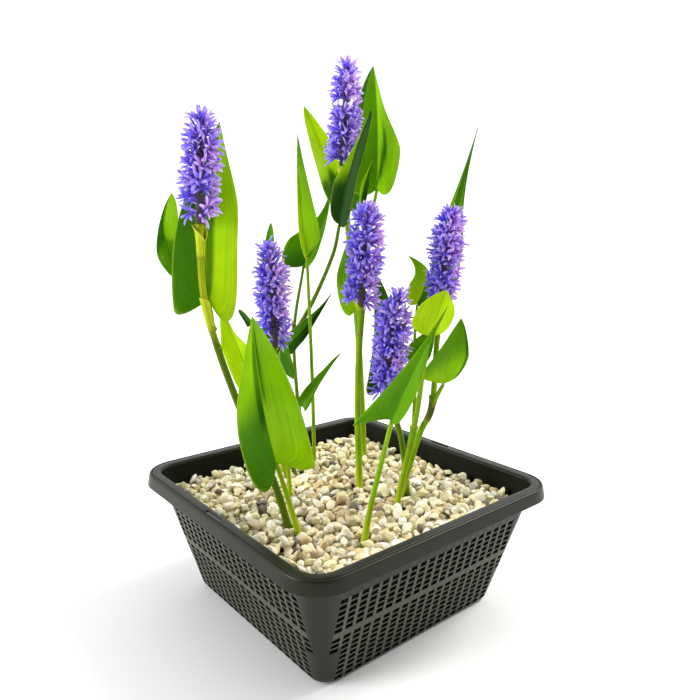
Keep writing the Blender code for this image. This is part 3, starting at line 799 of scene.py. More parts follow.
# These leave another one: 1 and 2 leave flower stem 1, 10, 12 and 20 flower stem 3, 11 leaf
# stalk 7, 13 flower stem 4, 14 flower stem 6, 18 and 19 flower stem 5, 17 and 21 leaf stalk 16
fork("leaf_stalk_1", (-26, -90, 214), (-34, -87, 224), (-38, -86, 233), thick=(4.0, 2.8))
fork("leaf_stalk_2", (-23, -87, 200), (-45, -88, 231), (-63, -93, 253), thick=(2.8, 2.2))
fork("leaf_stalk_10", (-54, 54, 253), (-62, 59, 276), (-69, 60, 295), thick=(3.0, 2.2))
fork("leaf_stalk_11", (-97, 25, 187), (-84, 38, 220), (-58, 38, 258), (-43, 33, 282),
     thick=(4.0, 2.6), material=SHADED_STEM_SKIN)
fork("leaf_stalk_12", (-53, 58, 216), (-53, 67, 257), (-49, 78, 311), thick=(3.6, 2.6))
fork("leaf_stalk_13", (2, 14, 176), (-6, 20, 203), (-11, 23, 221), thick=(2.8, 2.0))
fork("leaf_stalk_14", (28, 34, 128), (14, 37, 143), (2, 38, 158), thick=(2.8, 2.0),
     material=SHADED_STEM_SKIN)
fork("leaf_stalk_17", (44, 32, 131), (28, 49, 162), (13, 63, 194), (8, 70, 221),
     thick=(3.0, 2.0))
fork("leaf_stalk_18", (44, 51, 150), (48, 53, 160), (53, 53, 168), thick=(3.8, 2.6))
fork("leaf_stalk_19", (37, 63, 200), (25, 79, 208), (16, 94, 224), thick=(3.0, 2.2))
fork("leaf_stalk_20", (-54, 55, 245), (-48, 55, 272), (-43, 54, 291), thick=(2.6, 1.8))
fork("leaf_stalk_21", (49, 34, 170), (40, 40, 178), (31, 44, 184), thick=(2.6, 1.8))


# The sheaths: soft yellow-green blades rolled round a stem, one under each spike and others
# where a leaf stalk leaves its stem. Each one grows from the stem and opens at its top.
SHEATH_THICK = 0.45
SHEATH_OFF = 0.1
SHEATH_ROWS = 16
SHEATH_COLUMNS = 25
SHEATH_TURN = math.radians(352)
SHEATH_LIP_FROM = 0.86
SHEATH_EDGE = (0.58, 0.46, 0.05)
SHEATH_FOOT = (0.26, 0.22, 0.02)


def make_sheath_material(name, light, dark):
    material, tree, shader = new_material(name, 0.45, gloss=0.15)
    across, along = uv_parts(tree)
    ribs = lines_on(tree, across, 14.0, 2.0)
    grain = grain_on(tree, 1.0, 7)
    colour = mix_colours(tree, grain["Patches"], dark, light)
    colour = mix_colours(tree, maths(tree, "MULTIPLY", ribs["Lines"], 0.35), colour, dark)
    edge = ranged(tree, along, SHEATH_LIP_FROM, 1.0, 0.0, 0.5)
    colour = mix_colours(tree, edge, colour, SHEATH_EDGE)
    foot = ranged(tree, along, 0.0, 0.25, 0.7, 0.0)
    colour = mix_colours(tree, foot, colour, SHEATH_FOOT)
    set_skin(tree, shader, colour, ribs["Height"], 0.10)
    return material


YELLOW_SHEATH = make_sheath_material("yellow_sheath", (0.56, 0.62, 0.01), (0.30, 0.42, 0.005))
GREEN_SHEATH = make_sheath_material("green_sheath", (0.24, 0.45, 0.0), (0.10, 0.24, 0.0))
BROWN_SHEATH = make_sheath_material("brown_sheath", (0.12, 0.16, 0.01), (0.045, 0.055, 0.008))


def solid_sheet(points, thick, uv):
    """A thin closed solid: a grid of points in its middle, and its thickness at each."""
    normal = np.cross(np.gradient(points, axis=0), np.gradient(points, axis=1))
    size = np.linalg.norm(normal, axis=-1, keepdims=True)
    normal = normal / np.maximum(size, 1e-9)
    rows, columns = points.shape[:2]
    count = rows * columns
    half = normal * thick[..., None] / 2
    verts = np.concatenate([(points + half).reshape(-1, 3), (points - half).reshape(-1, 3)])
    index = np.arange(count).reshape(rows, columns)
    top = square_faces(index)
    rim = np.concatenate([index[0, :-1], index[:-1, -1], index[-1, :0:-1], index[:0:-1, 0]])
    onward = np.roll(rim, -1)
    side = np.stack([rim, rim + count, onward + count, onward], -1)
    faces = np.concatenate([top, top[:, ::-1] + count, side])
    uvs = np.concatenate([uv.reshape(-1, 2)] * 2)
    return verts, faces, uvs


def sheath(name, low, high, faces, material, flare=1.2, lip=0.5):
    """A blade rolled round a stem between two heights in mm, its opening at the angle faces.

    flare is how far its mouth stands off the stem in mm, and lip how far its edge rolls out.
    """
    route, radii = widths[name]
    spread = np.array([point.z for point in route])
    frames = frames_along(route)
    points = np.zeros((SHEATH_ROWS, SHEATH_COLUMNS, 3))
    uv = np.zeros((SHEATH_ROWS, SHEATH_COLUMNS, 2))
    opening = Vector((math.cos(math.radians(faces)), math.sin(math.radians(faces)), 0))
    for column in range(SHEATH_COLUMNS):
        across = column / (SHEATH_COLUMNS - 1)
        turn = (across - 0.5) * SHEATH_TURN
        tall = 1 - 0.45 * abs(2 * across - 1) ** 2.5
        for row in range(SHEATH_ROWS):
            u = row / (SHEATH_ROWS - 1)
            height = low + (high - low) * u * tall
            where = float(np.interp(height, spread, np.arange(len(route))))
            step = min(int(where), len(route) - 2)
            centre = route[step].lerp(route[step + 1], where - step)
            ahead = frames[step][0]
            back = (-opening + ahead * ahead.dot(opening)).normalized()
            side = ahead.cross(back)
            rolled = max(0.0, u - SHEATH_LIP_FROM) / (1 - SHEATH_LIP_FROM)
            off = radii[step] + SHEATH_OFF + flare * u * u + lip * rolled
            points[row, column] = centre + (back * math.cos(turn) + side * math.sin(turn)) * off
            uv[row, column] = (across, u)
    thick = np.full((SHEATH_ROWS, SHEATH_COLUMNS), SHEATH_THICK)
    verts, quads, uvs = solid_sheet(points, thick, uv)
    piece = mesh_object(f"sheath_{name}_{round(low)}", verts, quads, uvs, material)
    stands_for(piece, "stem", name)


sheath("flower_stem_1", 262, 283.5, faces=15, material=YELLOW_SHEATH, flare=1.3, lip=1.0)
sheath("flower_stem_1", 213, 236, faces=100, material=YELLOW_SHEATH, flare=0.5, lip=0.2)
sheath("flower_stem_2", 168, 187.5, faces=-70, material=GREEN_SHEATH)
sheath("flower_stem_3", 304, 327.5, faces=120, material=YELLOW_SHEATH)
sheath("flower_stem_4", 203, 224.5, faces=140, material=GREEN_SHEATH, flare=0.7)
sheath("flower_stem_5", 205, 225.5, faces=-100, material=GREEN_SHEATH)
sheath("flower_stem_6", 141, 160.5, faces=150, material=GREEN_SHEATH)
sheath("leaf_stalk_7", 180, 200, faces=60, material=BROWN_SHEATH, flare=0.8)
sheath("flower_stem_5", 140, 158, faces=-20, material=BROWN_SHEATH, flare=0.6)
sheath("leaf_stalk_16", 122, 140, faces=140, material=GREEN_SHEATH, flare=0.6)


# The leaf blades: glossy, rather thick green blades, heart-shaped to lance-shaped, with fine
# veins that run in arcs from the notch to the tip. Each one is folded a little along its
# midrib and grows in one piece with its stalk.
LEAF_ROWS = 46
LEAF_COLUMNS = 29
LEAF_THICK = 0.7
RIB_THICK = 1.5
RIB_HALF_WIDTH = 1.1
EDGE_RIPPLES = (2.1, 4.3)
LOBE_SHARE = 0.45
THROUGH_SHARE = 0.38

# The greens are partly the leaves' own tones and partly painted light and shade: lighter ones for
# halves and parts in the light, darker ones for those in shade.
BRIGHT = (0.56, 0.80, 0.0)
FRESH = (0.37, 0.68, 0.0)
MIDDLE = (0.16, 0.42, 0.0)
SOFT_DEEP = (0.09, 0.31, 0.0)
DEEP = (0.065, 0.25, 0.0)
DARKEST = (0.022, 0.10, 0.002)
LEAF_EDGE = (0.60, 0.74, 0.08)
VEIN_TINT = (1.7, 1.4, 1.0)
PATCH_TINT = (0.45, 0.62, 0.5)
FOLD_SHADE_TINT = (0.22, 0.42, 0.4)


def bezier(points, t):
    a, b, c, d = points
    s = 1 - t
    return a * s**3 + b * 3 * s**2 * t + c * 3 * s * t**2 + d * t**3


def half(width, lobe=0.0, widest=0.2, blunt=0.33, reach=0.72):
    """What shapes one half of a blade: its width and how far its lobe reaches back, in mm,
    and as shares where it is widest, how blunt its tip is, and where the tip's taper starts.
    """
    return width, lobe, widest, blunt, reach


def half_outline(t, length, shape):
    """One edge of a blade as (along, out): from the notch, round the lobe, to the tip."""
    width, lobe, widest, blunt, reach = shape
    broad = Vector((widest * length, width))
    if t < LOBE_SHARE:
        notch = Vector((-1.2 * lobe, 0.30 * width))
        back = Vector((min(widest * length, 0) - 1.6 * lobe, width))
        points = (Vector((0, 0)), notch, back, broad)
        return bezier(points, t / LOBE_SHARE)
    swell = broad + Vector((0.9 * lobe + 0.12 * length, 0))
    taper = Vector((reach * length, blunt * width))
    points = (broad, swell, taper, Vector((length, 0)))
    return bezier(points, (t - LOBE_SHARE) / (1 - LOBE_SHARE))


def let_light_through(tree, shader, colour):
    """Mixes light that comes through from behind into a thin leaf or petal."""
    through = add_node(tree, "BsdfTranslucent", {"Color": colour})
    sockets = {0: THROUGH_SHARE, 1: shader.outputs[0], 2: through.outputs[0]}
    both = add_node(tree, "MixShader", sockets)
    tree.links.new(both.outputs[0], tree.nodes["Material Output"].inputs["Surface"])


def painted_fold_shade(tree, across, along, fold):
    """A mask of painted shade: a dark band along a fold, given as (side, inner, outer, low,
    high).
    """
    side_of, inner, outer, low, high = fold
    off = maths(tree, "MULTIPLY", across, side_of)
    band = 0.9
    for value, start, stop in ((off, inner, inner + 0.05), (off, outer + 0.04, outer - 0.04),
                               (along, low, low + 0.08), (along, high + 0.05, high - 0.10)):
        band = maths(tree, "MULTIPLY", band, ranged(tree, value, start, stop))
    return band


def leaf_material(number, greens, change, shaded):
    """Leaf skin: each half goes from one green at its lobe to another at its tip, greens that
    paint the light and shade on that half, with arc veins, a pale midrib and edge, dark bands of
    painted shade along its folds, and light that comes through.
    """
    material, tree, shader = new_material(f"leaf_skin_{number}", 0.36, gloss=0.14)
    across, along = uv_parts(tree)
    across = maths(tree, "SUBTRACT", maths(tree, "MULTIPLY", across, 2.0), 1.0)
    out = maths(tree, "ABSOLUTE", across)
    grain = grain_on(tree, 0.8, 16)
    drawn_out = maths(tree, "MULTIPLY", across, 9.0)
    stretched = add_node(tree, "CombineXYZ", {0: drawn_out, 1: along, 2: number * 3.7})
    sockets = {"Vector": stretched.outputs[0], "Scale": 1.6, "Detail": 5.0}
    streaks = add_node(tree, "TexNoise", sockets).outputs["Fac"]

    ragged = maths(tree, "ADD", along, maths(tree, "MULTIPLY", streaks, 0.16))
    onward = ranged(tree, ragged, change[0] + 0.08, change[1] + 0.08,
                    interpolation_type="SMOOTHSTEP")
    left, right = (mix_colours(tree, onward, near, far) for near, far in greens)
    colour = mix_colours(tree, ranged(tree, across, -0.03, 0.03), left, right)
    light = tinted(tree, colour, VEIN_TINT)

    both_tones = maths(tree, "ADD", maths(tree, "MULTIPLY", streaks, 0.6),
                       maths(tree, "MULTIPLY", grain["Patches"], 0.4))
    patch = ranged(tree, both_tones, 0.38, 0.66, 0.0, 0.5)
    colour = mix_colours(tree, patch, colour, tinted(tree, colour, PATCH_TINT))

    veins = lines_on(tree, out, 8.0, 5.0)
    hair = lines_on(tree, out, 31.0, 2.0)
    both_lines = maths(tree, "ADD", maths(tree, "MULTIPLY", hair["Lines"], 0.12),
                       maths(tree, "MULTIPLY", veins["Lines"], 0.12))
    colour = mix_colours(tree, both_lines, colour, light)
    rib = maths(tree, "MULTIPLY", ranged(tree, out, 0.0, 0.055, 0.7, 0.0),
                ranged(tree, along, 0.0, 1.0, 1.0, 0.25))
    colour = mix_colours(tree, rib, colour, light)
    # Painted shade: dark bands along the folds.
    for fold in shaded:
        band = painted_fold_shade(tree, across, along, fold)
        colour = mix_colours(tree, band, colour, tinted(tree, colour, FOLD_SHADE_TINT))
    colour = mix_colours(tree, ranged(tree, out, 0.93, 1.0, 0.0, 0.45), colour, LEAF_EDGE)

    heights = maths(tree, "ADD", maths(tree, "MULTIPLY", veins["Height"], 0.7),
                    maths(tree, "MULTIPLY", hair["Height"], 0.3))
    set_skin(tree, shader, colour, heights, 0.12)
    let_light_through(tree, shader, colour)
    return material


def make_leaf(number, length, rise, bearing, faces, left, right, fold=24, bow=0, sway=0,
              greens=(MIDDLE, MIDDLE), tips=None, change=(0.3, 0.7), shaded=(), wave=0.8):
    """A blade on leaf_stalk_NUMBER, with lengths in mm and angles in degrees, as the solid's.

    greens and tips are the colours of its left and right half at its lobes and at its tip, which
    paint the light and shade that fall on each half, and change is where one passes into the
    other. shaded lists dark bands of painted shade along its folds as (side, inner, outer, low,
    high), in shares of its half and its length. wave is how far its edges ripple.
    """
    draw = random.Random(100 + number)
    stalk = routes[f"leaf_stalk_{number}"]
    onward = (stalk[-1] - stalk[-2]).normalized()
    base = stalk[-1] + onward * 2 * GAP
    rise, bearing, faces, fold = (math.radians(a) for a in (rise, bearing, faces, fold))
    flat = Vector((math.cos(bearing), math.sin(bearing), 0))
    aim = flat * math.cos(rise) + Vector((0, 0, math.sin(rise)))
    look = Vector((math.cos(faces), math.sin(faces), 0))
    outward = (look - aim * look.dot(aim)).normalized()
    side = aim.cross(outward)
    tip = base + aim * length
    middle = base + aim * length / 2 + outward * bow + side * sway
    pull = middle * 2 - (base + tip) / 2
    longer = (middle - base).length + (tip - middle).length

    points = np.zeros((LEAF_ROWS, LEAF_COLUMNS, 3))
    thick = np.zeros((LEAF_ROWS, LEAF_COLUMNS))
    uv = np.zeros((LEAF_ROWS, LEAF_COLUMNS, 2))
    phases = [draw.uniform(0, 2 * math.pi) for _ in range(4)]
    for row in range(LEAF_ROWS):
        t = row / (LEAF_ROWS - 1)
        for column in range(LEAF_COLUMNS):
            across = 2 * column / (LEAF_COLUMNS - 1) - 1
            side_of = 0 if across < 0 else 1
            edge = half_outline(t, longer, (left, right)[side_of])
            v = abs(across)
            along = longer * t**1.3
            along += v * (edge.x - along)
            out = across * edge.y
            s = min(max(along / longer, 0.0), 1.0)
            run = ((pull - base) * (1 - s) + (tip - pull) * s).normalized()
            normal = (look - run * look.dot(run)).normalized()
            point = base * (1 - s) ** 2 + pull * 2 * s * (1 - s) + tip * s**2
            if along < 0:
                point = base + run * along
            lift = abs(out) * math.sin(fold) * (1.35 - 0.35 * v)
            body = math.sin(math.pi * min(max(t, 0.0), 1.0))
            ripple = math.sin(2 * math.pi * EDGE_RIPPLES[0] * t + phases[side_of])
            finer = math.sin(2 * math.pi * EDGE_RIPPLES[1] * t + phases[side_of + 2])
            ripple += 0.5 * finer
            lift += wave * v**3 * body * ripple
            place = point + run.cross(normal) * out * math.cos(fold) + normal * lift
            points[row, column] = place
            rib = RIB_THICK * (1 - t) ** 1.4 * math.exp(-(out / RIB_HALF_WIDTH) ** 2)
            thick[row, column] = LEAF_THICK * (1 - 0.6 * v**6) + rib
            uv[row, column] = (column / (LEAF_COLUMNS - 1), t)
    verts, quads, uvs = solid_sheet(points, thick, uv)
    material = leaf_material(number, list(zip(greens, tips or greens)), change, shaded)
    piece = mesh_object(f"leaf_blade_{number}", verts, quads, uvs, material)
    stands_for(piece, "leaf", f"leaf_{number}")


# On the left: 1 is tall, behind the first spike, 4 is broad, in front, 5 is behind spike 2
make_leaf(1, length=117, rise=84, bearing=70, faces=-31, sway=-5,
          left=half(25, lobe=5, widest=-0.04, blunt=0.96, reach=0.4),
          right=half(23.5, lobe=19, widest=0.3, blunt=1.1, reach=0.56),
          greens=(SOFT_DEEP, BRIGHT), tips=(SOFT_DEEP, FRESH), change=(0.3, 0.8),
          shaded=((1, 0.0, 0.26, -0.1, 1.1),), wave=1.6)
make_leaf(2, length=52, rise=80, bearing=180, faces=-19, fold=22, sway=-8.5,
          left=half(10.5, lobe=7, widest=0.15, blunt=0.21, reach=0.3),
          right=half(12.5, lobe=6.5, widest=0.21, blunt=0.9, reach=0.95),
          greens=(MIDDLE, MIDDLE), tips=(DEEP, FRESH), change=(0.45, 0.55))
make_leaf(3, length=85.5, rise=66, bearing=198, faces=-53, bow=-2,
          left=half(12, lobe=-3.5, widest=0.55, blunt=0.34, reach=0.95),
          right=half(12, lobe=9.5, widest=0.46, blunt=0.12, reach=0.53),
          greens=(BRIGHT, FRESH), tips=(BRIGHT, BRIGHT), shaded=((1, 0.02, 0.16, 0.1, 1.1),))
make_leaf(4, length=97.5, rise=75, bearing=179, faces=-19, bow=11, sway=-4.5,
          left=half(22.5, lobe=17, blunt=0.77, reach=0.4),
          right=half(25.5, lobe=5, widest=-0.06, blunt=1, reach=0.6),
          greens=(SOFT_DEEP, (0.42, 0.72, 0.0)), tips=(FRESH, (0.28, 0.58, 0.0)),
          change=(0.42, 0.72),
          shaded=((-1, 0.0, 0.22, 0.35, 0.95), (1, 0.0, 0.10, 0.5, 1.0)), wave=1.2)
make_leaf(5, length=118, rise=84, bearing=171, faces=-39, fold=20, bow=-3, sway=-7.5,
          left=half(8, lobe=4.5, widest=-0.04, blunt=0.52, reach=0.95),
          right=half(12.5, lobe=9.5, widest=-0.04, blunt=0.8, reach=0.95),
          greens=(DEEP, DEEP), tips=(MIDDLE, MIDDLE))
# Behind them, lance-shaped leaves
make_leaf(6, length=95, rise=86, bearing=210, faces=-24, fold=26, bow=5, sway=-3.5,
          left=half(4, lobe=1.5, blunt=0.03, reach=0.52),
          right=half(14, lobe=-5.5, blunt=0.15, reach=0.95),
          greens=(BRIGHT, FRESH), tips=(FRESH, MIDDLE), change=(0.5, 0.95))
make_leaf(7, length=78.5, rise=71, bearing=66, faces=-49, bow=-2, sway=5,
          left=half(23, lobe=9, widest=0.11, blunt=0.03, reach=0.41),
          right=half(6, lobe=2, widest=0.1, blunt=0.1, reach=0.5),
          greens=(DEEP, MIDDLE), tips=(MIDDLE, MIDDLE), change=(0.2, 0.5))
make_leaf(8, length=69, rise=47, bearing=70, faces=1, fold=30, sway=2,
          left=half(16.5, lobe=-1, widest=0.21, blunt=0.03, reach=0.67),
          right=half(8, lobe=-1, widest=0.11, blunt=0.37, reach=0.64),
          greens=(MIDDLE, DEEP), tips=(DEEP, DARKEST))
make_leaf(9, length=57, rise=53, bearing=49, faces=-79, fold=32, bow=2, sway=1,
          left=half(5, lobe=4, widest=0.3, blunt=0.5, reach=0.8),
          right=half(12, lobe=-2.5, widest=0.05, blunt=0.05, reach=0.3),
          greens=(MIDDLE, MIDDLE))
# Round the tallest spike
make_leaf(10, length=92, rise=66, bearing=206, faces=-24, fold=22, bow=-3, sway=2,
          left=half(14.5, lobe=4, widest=0.23, blunt=0.54, reach=0.95),
          right=half(16, lobe=6, widest=0.15, blunt=0.18, reach=0.95),
          greens=(DEEP, DEEP), tips=(BRIGHT, BRIGHT), change=(0.42, 0.52))
make_leaf(11, length=90.5, rise=74, bearing=58, faces=-53, sway=-3.5,
          left=half(10.5, lobe=-1, widest=0.3, blunt=0.03, reach=0.54),
          right=half(9.5, lobe=3, widest=0.19, blunt=0.96, reach=0.95),
          greens=(DARKEST, DARKEST), tips=(FRESH, DARKEST), change=(0.42, 0.62),
          shaded=((1, 0.0, 0.2, 0.2, 1.1),))
make_leaf(12, length=98.5, rise=84, bearing=160, faces=-69, fold=26, bow=-5, sway=0.5,
          left=half(25.5, lobe=8, widest=0.17, blunt=0.7, reach=0.84),
          right=half(27.5, lobe=9.5, widest=0.23, blunt=0.24, reach=0.53),
          greens=(MIDDLE, FRESH), tips=(MIDDLE, FRESH),
          shaded=((1, 0.02, 0.20, -0.1, 0.30), (1, 0.12, 0.32, 0.18, 0.46),
                  (1, 0.24, 0.42, 0.34, 0.66), (-1, 0.65, 1.0, 0.45, 1.1)), wave=1.2)
make_leaf(20, length=43.5, rise=75, bearing=65, faces=-9, fold=30, bow=1, sway=-3,
          left=half(4.5, lobe=-3, widest=0.45, blunt=0.45, reach=0.77),
          right=half(4, lobe=1, widest=0.39, blunt=0.48, reach=0.85),
          greens=(FRESH, DARKEST), tips=(FRESH, DEEP), shaded=((-1, 0.0, 0.3, -0.1, 1.1),))
# The middle and the right group
make_leaf(13, length=63, rise=81, bearing=132, faces=-59, sway=-4,
          left=half(12, lobe=7, blunt=0.5), right=half(13, lobe=3, widest=0.1, blunt=0.3),
          greens=(FRESH, BRIGHT), tips=(MIDDLE, MIDDLE))
make_leaf(14, length=87, rise=80, bearing=152, faces=-64, bow=-2, sway=5,
          left=half(11, lobe=8, widest=0, blunt=0.9, reach=0.9),
          right=half(14, lobe=6, widest=0.19, blunt=0.53, reach=0.87),
          greens=(DARKEST, DARKEST), tips=(DEEP, DEEP))
make_leaf(15, length=80, rise=65, bearing=55, faces=-67, fold=28, bow=5, sway=1,
          left=half(21.5, widest=-0.17, blunt=0.23, reach=0.3),
          right=half(9, lobe=2, widest=0.31, blunt=0.05, reach=0.4),
          greens=((0.11, 0.33, 0.0), MIDDLE), tips=(MIDDLE, MIDDLE))
make_leaf(16, length=34, rise=71, bearing=58, faces=-42, fold=20, sway=1,
          left=half(17.5, lobe=1.5, widest=0.19, blunt=1.1, reach=0.71),
          right=half(10.5, lobe=-2, widest=0.55, blunt=0.79, reach=0.78),
          greens=(BRIGHT, BRIGHT))
make_leaf(17, length=39, rise=77, bearing=-117, faces=-59, bow=-8, sway=8,
          left=half(12, lobe=5, widest=0.25), right=half(9, lobe=2, widest=0.25),
          greens=(BRIGHT, DEEP), tips=(FRESH, FRESH))
make_leaf(18, length=50, rise=77, bearing=53, faces=-39, fold=18, bow=3, sway=1.5,
          left=half(20.5, widest=0.06, blunt=0.32, reach=0.83),
          right=half(10, lobe=-4, widest=0.5, blunt=0.47, reach=0.89),
          greens=(FRESH, FRESH), tips=(MIDDLE, MIDDLE), shaded=((1, 0.75, 1.0, 0.2, 1.1),))
make_leaf(19, length=134, rise=79, bearing=78, faces=-49, fold=10, sway=-2.5,
          left=half(15, lobe=8, widest=0.25, blunt=0.25, reach=0.52),
          right=half(8, lobe=6, widest=0.28, blunt=0.05, reach=0.4),
          greens=(FRESH, MIDDLE), tips=(MIDDLE, DEEP), change=(0.55, 0.85),
          shaded=((-1, 0.0, 0.5, -0.1, 1.1),))
make_leaf(21, length=31, rise=58, bearing=45, faces=-45, bow=-1,
          left=half(10, lobe=5), right=half(10, lobe=5), greens=(MIDDLE, MIDDLE))


def make_curled_tip():
    """A short dark blade behind the tip of leaf 4, which curls away to one side."""
    rows, columns = 14, 7
    points = np.zeros((rows, columns, 3))
    uv = np.zeros((rows, columns, 2))
    foot = Vector((-4.2, -72.8, 217.5))
    aside = Vector((-0.638, -0.770, 0))
    away = Vector((-0.770, 0.638, 0))
    for row in range(rows):
        t = row / (rows - 1)
        centre = foot + aside * (1 + 7.5 * t) + Vector((0, 0, 13 * t - 2.5 * t * t))
        run = (aside * 7.5 + Vector((0, 0, 13 - 5 * t))).normalized()
        wide = 2.3 * (1 - 0.45 * t) * math.sqrt(max(0.02, 1 - t**6))
        for column in range(columns):
            across = 2 * column / (columns - 1) - 1
            cup = away * (1.2 * across * across)
            points[row, column] = centre + run.cross(away) * across * wide + cup
            uv[row, column] = ((across + 1) / 2, t)
    verts, quads, uvs = solid_sheet(points, np.full((rows, columns), 0.6), uv)
    material = leaf_material(22, ((DEEP, DEEP), (DARKEST, DARKEST)), (0.3, 0.7), ())
    piece = mesh_object("leaf_curled_tip_4", verts, quads, uvs, material)
    stands_for(piece, "leaf", "leaf_4")


make_curled_tip()


# The flower spikes: a hairy brown-green axis crowded with small violet-blue flowers. Each
# flower is a short tube that opens into six narrow petals with fine stamens. They open in
# clusters, and brown buds and the axis show in the gaps.
PETAL_ROWS = 7
PETAL_COLUMNS = 3
PETAL_THICK = 0.28
PETAL_TIP_THICK = 0.08
PETAL_TURNS = (-52, 0, 52, 128, 180, 232)
STAMENS = 4
FLOWER_FORMS = 10
BUD_FORMS = 4
AXIS_RINGS = 26
AXIS_RADIUS, AXIS_TAPER, AXIS_LUMPS = 2.5, 1.4, 0.25
WHORLS_PER_MM = 0.075
SPARSE_UNDER = -0.72
TOP_FROM = 0.82
FOOT_UNDER = 0.14
BUDS_PER_MM = 1.25
GOLDEN_ANGLE = math.radians(137.5)
# The side that the photograph shows, and the side that the light comes from
PHOTO_SIDE = math.radians(-39)
LIGHT_SIDE = math.radians(50)
# What each part of a flower is, as a number on its points
PETAL_KIND, TUBE_KIND, STAMEN_KIND, BUD_KIND = 0.0, 0.33, 0.66, 1.0

VIOLET = (0.24, 0.18, 1.0)
LILAC = (0.86, 0.55, 1.0)
THROAT_BLUE = (0.20, 0.10, 0.82)
PAINTED_HIGHLIGHT_TIP = (0.84, 0.74, 1.0)
TUBE_BLUE = (0.26, 0.17, 0.80)
STAMEN_PURPLE = (0.22, 0.13, 0.36)
BUD_PURPLE = (0.22, 0.14, 0.30)


def petal(draw, length, half_width, start, bend):
    """One petal that starts at the tube's mouth and bends outwards; tube axis +Z."""
    points = np.zeros((PETAL_ROWS, PETAL_COLUMNS, 3))
    x, z = 0.7, 0.0
    twist = draw.uniform(-0.5, 0.5)
    for row in range(PETAL_ROWS):
        t = row / (PETAL_ROWS - 1)
        angle = start + bend * t
        wide = half_width * (0.30 + 0.70 * math.sin(math.pi / 2 * min(1, t / 0.55)))
        wide *= math.sqrt(max(0.0, 1 - t**5))
        for column in range(PETAL_COLUMNS):
            across = column - 1
            y = across * max(wide, 0.03)
            dip = 0.25 * abs(across) * wide
            turn = twist * t
            points[row, column] = (
                x + dip * math.cos(angle) - y * math.sin(turn) * math.cos(angle),
                y * math.cos(turn),
                z + dip * math.sin(angle) + y * math.sin(turn) * math.sin(angle),
            )
        step = length / (PETAL_ROWS - 1)
        x += step * math.sin(angle)
        z += step * math.cos(angle)
    thick = np.full((PETAL_ROWS, PETAL_COLUMNS), PETAL_THICK)
    thick[-1] = PETAL_TIP_THICK
    verts, faces, _ = solid_sheet(points, thick, np.zeros((PETAL_ROWS, PETAL_COLUMNS, 2)))
    share = np.tile(np.repeat(np.linspace(0, 1, PETAL_ROWS), PETAL_COLUMNS), 2)
    return verts, faces, share


def small_tube(start, stop, radii, sides):
    """A closed round spindle between two points, with a radius for each of its rings."""
    start, stop = Vector(start), Vector(stop)
    count = len(radii)
    route = [start.lerp(stop, i / (count - 1)) for i in range(count)]
    grid, _ = tube_grid(route, radii, ribs=0.0, sides=sides)
    verts = grid[:, :-1].reshape(-1, 3)
    index = np.arange(count * sides).reshape(count, sides)
    walls = square_faces(np.column_stack([index, index[:, 0]]))
    low, high = index[0], index[-1]
    ends = []
    for k in range(1, sides - 2, 2):
        ends.append((low[0], low[k + 2], low[k + 1], low[k]))
        ends.append((high[0], high[k], high[k + 1], high[k + 2]))
    share = np.repeat(np.linspace(0, 1, count), sides)
    return verts, np.concatenate([walls, np.array(ends)]), share


def whole_flower(parts):
    """Joins (points, faces, share, kind) parts; the last two become values on the points."""
    verts, faces = merge(parts)
    shares = np.concatenate([part[2] for part in parts])
    kinds = np.concatenate([np.full(len(part[0]), part[3]) for part in parts])
    return verts, faces, {"share": shares, "kind": kinds}


def flower_form(draw):
    """One open flower, its tube from the origin up +Z, about 14 mm across."""
    parts = []
    tube_length = draw.uniform(3.2, 5.0)
    for k, around in enumerate(PETAL_TURNS):
        angle = math.radians(around + draw.uniform(-9, 9))
        length = draw.uniform(7.4, 11.0) * (1.0 if k < 3 else 0.92)
        width = draw.uniform(0.75, 1.25) * (1.15 if k == 1 else 1.0)
        start = math.radians(draw.uniform(18, 50))
        bend = math.radians(draw.uniform(0, 60))
        verts, faces, share = petal(draw, length, width, start, bend)
        turn = np.array(Matrix.Rotation(angle, 3, "Z"))
        verts = verts @ turn.T + np.array((0, 0, tube_length))
        parts.append((verts, faces, share, PETAL_KIND))
    tube = small_tube((0, 0, -0.5), (0, 0, tube_length + 0.4), (0.7, 0.75, 1.0, 1.35), 6)
    parts.append((*tube, TUBE_KIND))
    for _ in range(STAMENS):
        lean = draw.uniform(0, 2 * math.pi)
        out = draw.uniform(1.0, 2.6)
        top = (out * math.cos(lean), out * math.sin(lean), tube_length + draw.uniform(2.4, 6.5))
        stamen = small_tube((0, 0, tube_length - 0.5), top, (0.13, 0.11, 0.36, 0.20), 4)
        parts.append((*stamen, STAMEN_KIND))
    return whole_flower(parts)


def bud_form(draw):
    """A closed bud or a spent flower: a small pointed spindle."""
    length = draw.uniform(3.2, 4.6)
    top = (draw.uniform(-0.5, 0.5), 0, length)
    spindle = small_tube((0, 0, -0.4), top, (0.6, 1.05, 1.0, 0.6, 0.15), 6)
    return whole_flower([(*spindle, BUD_KIND)])


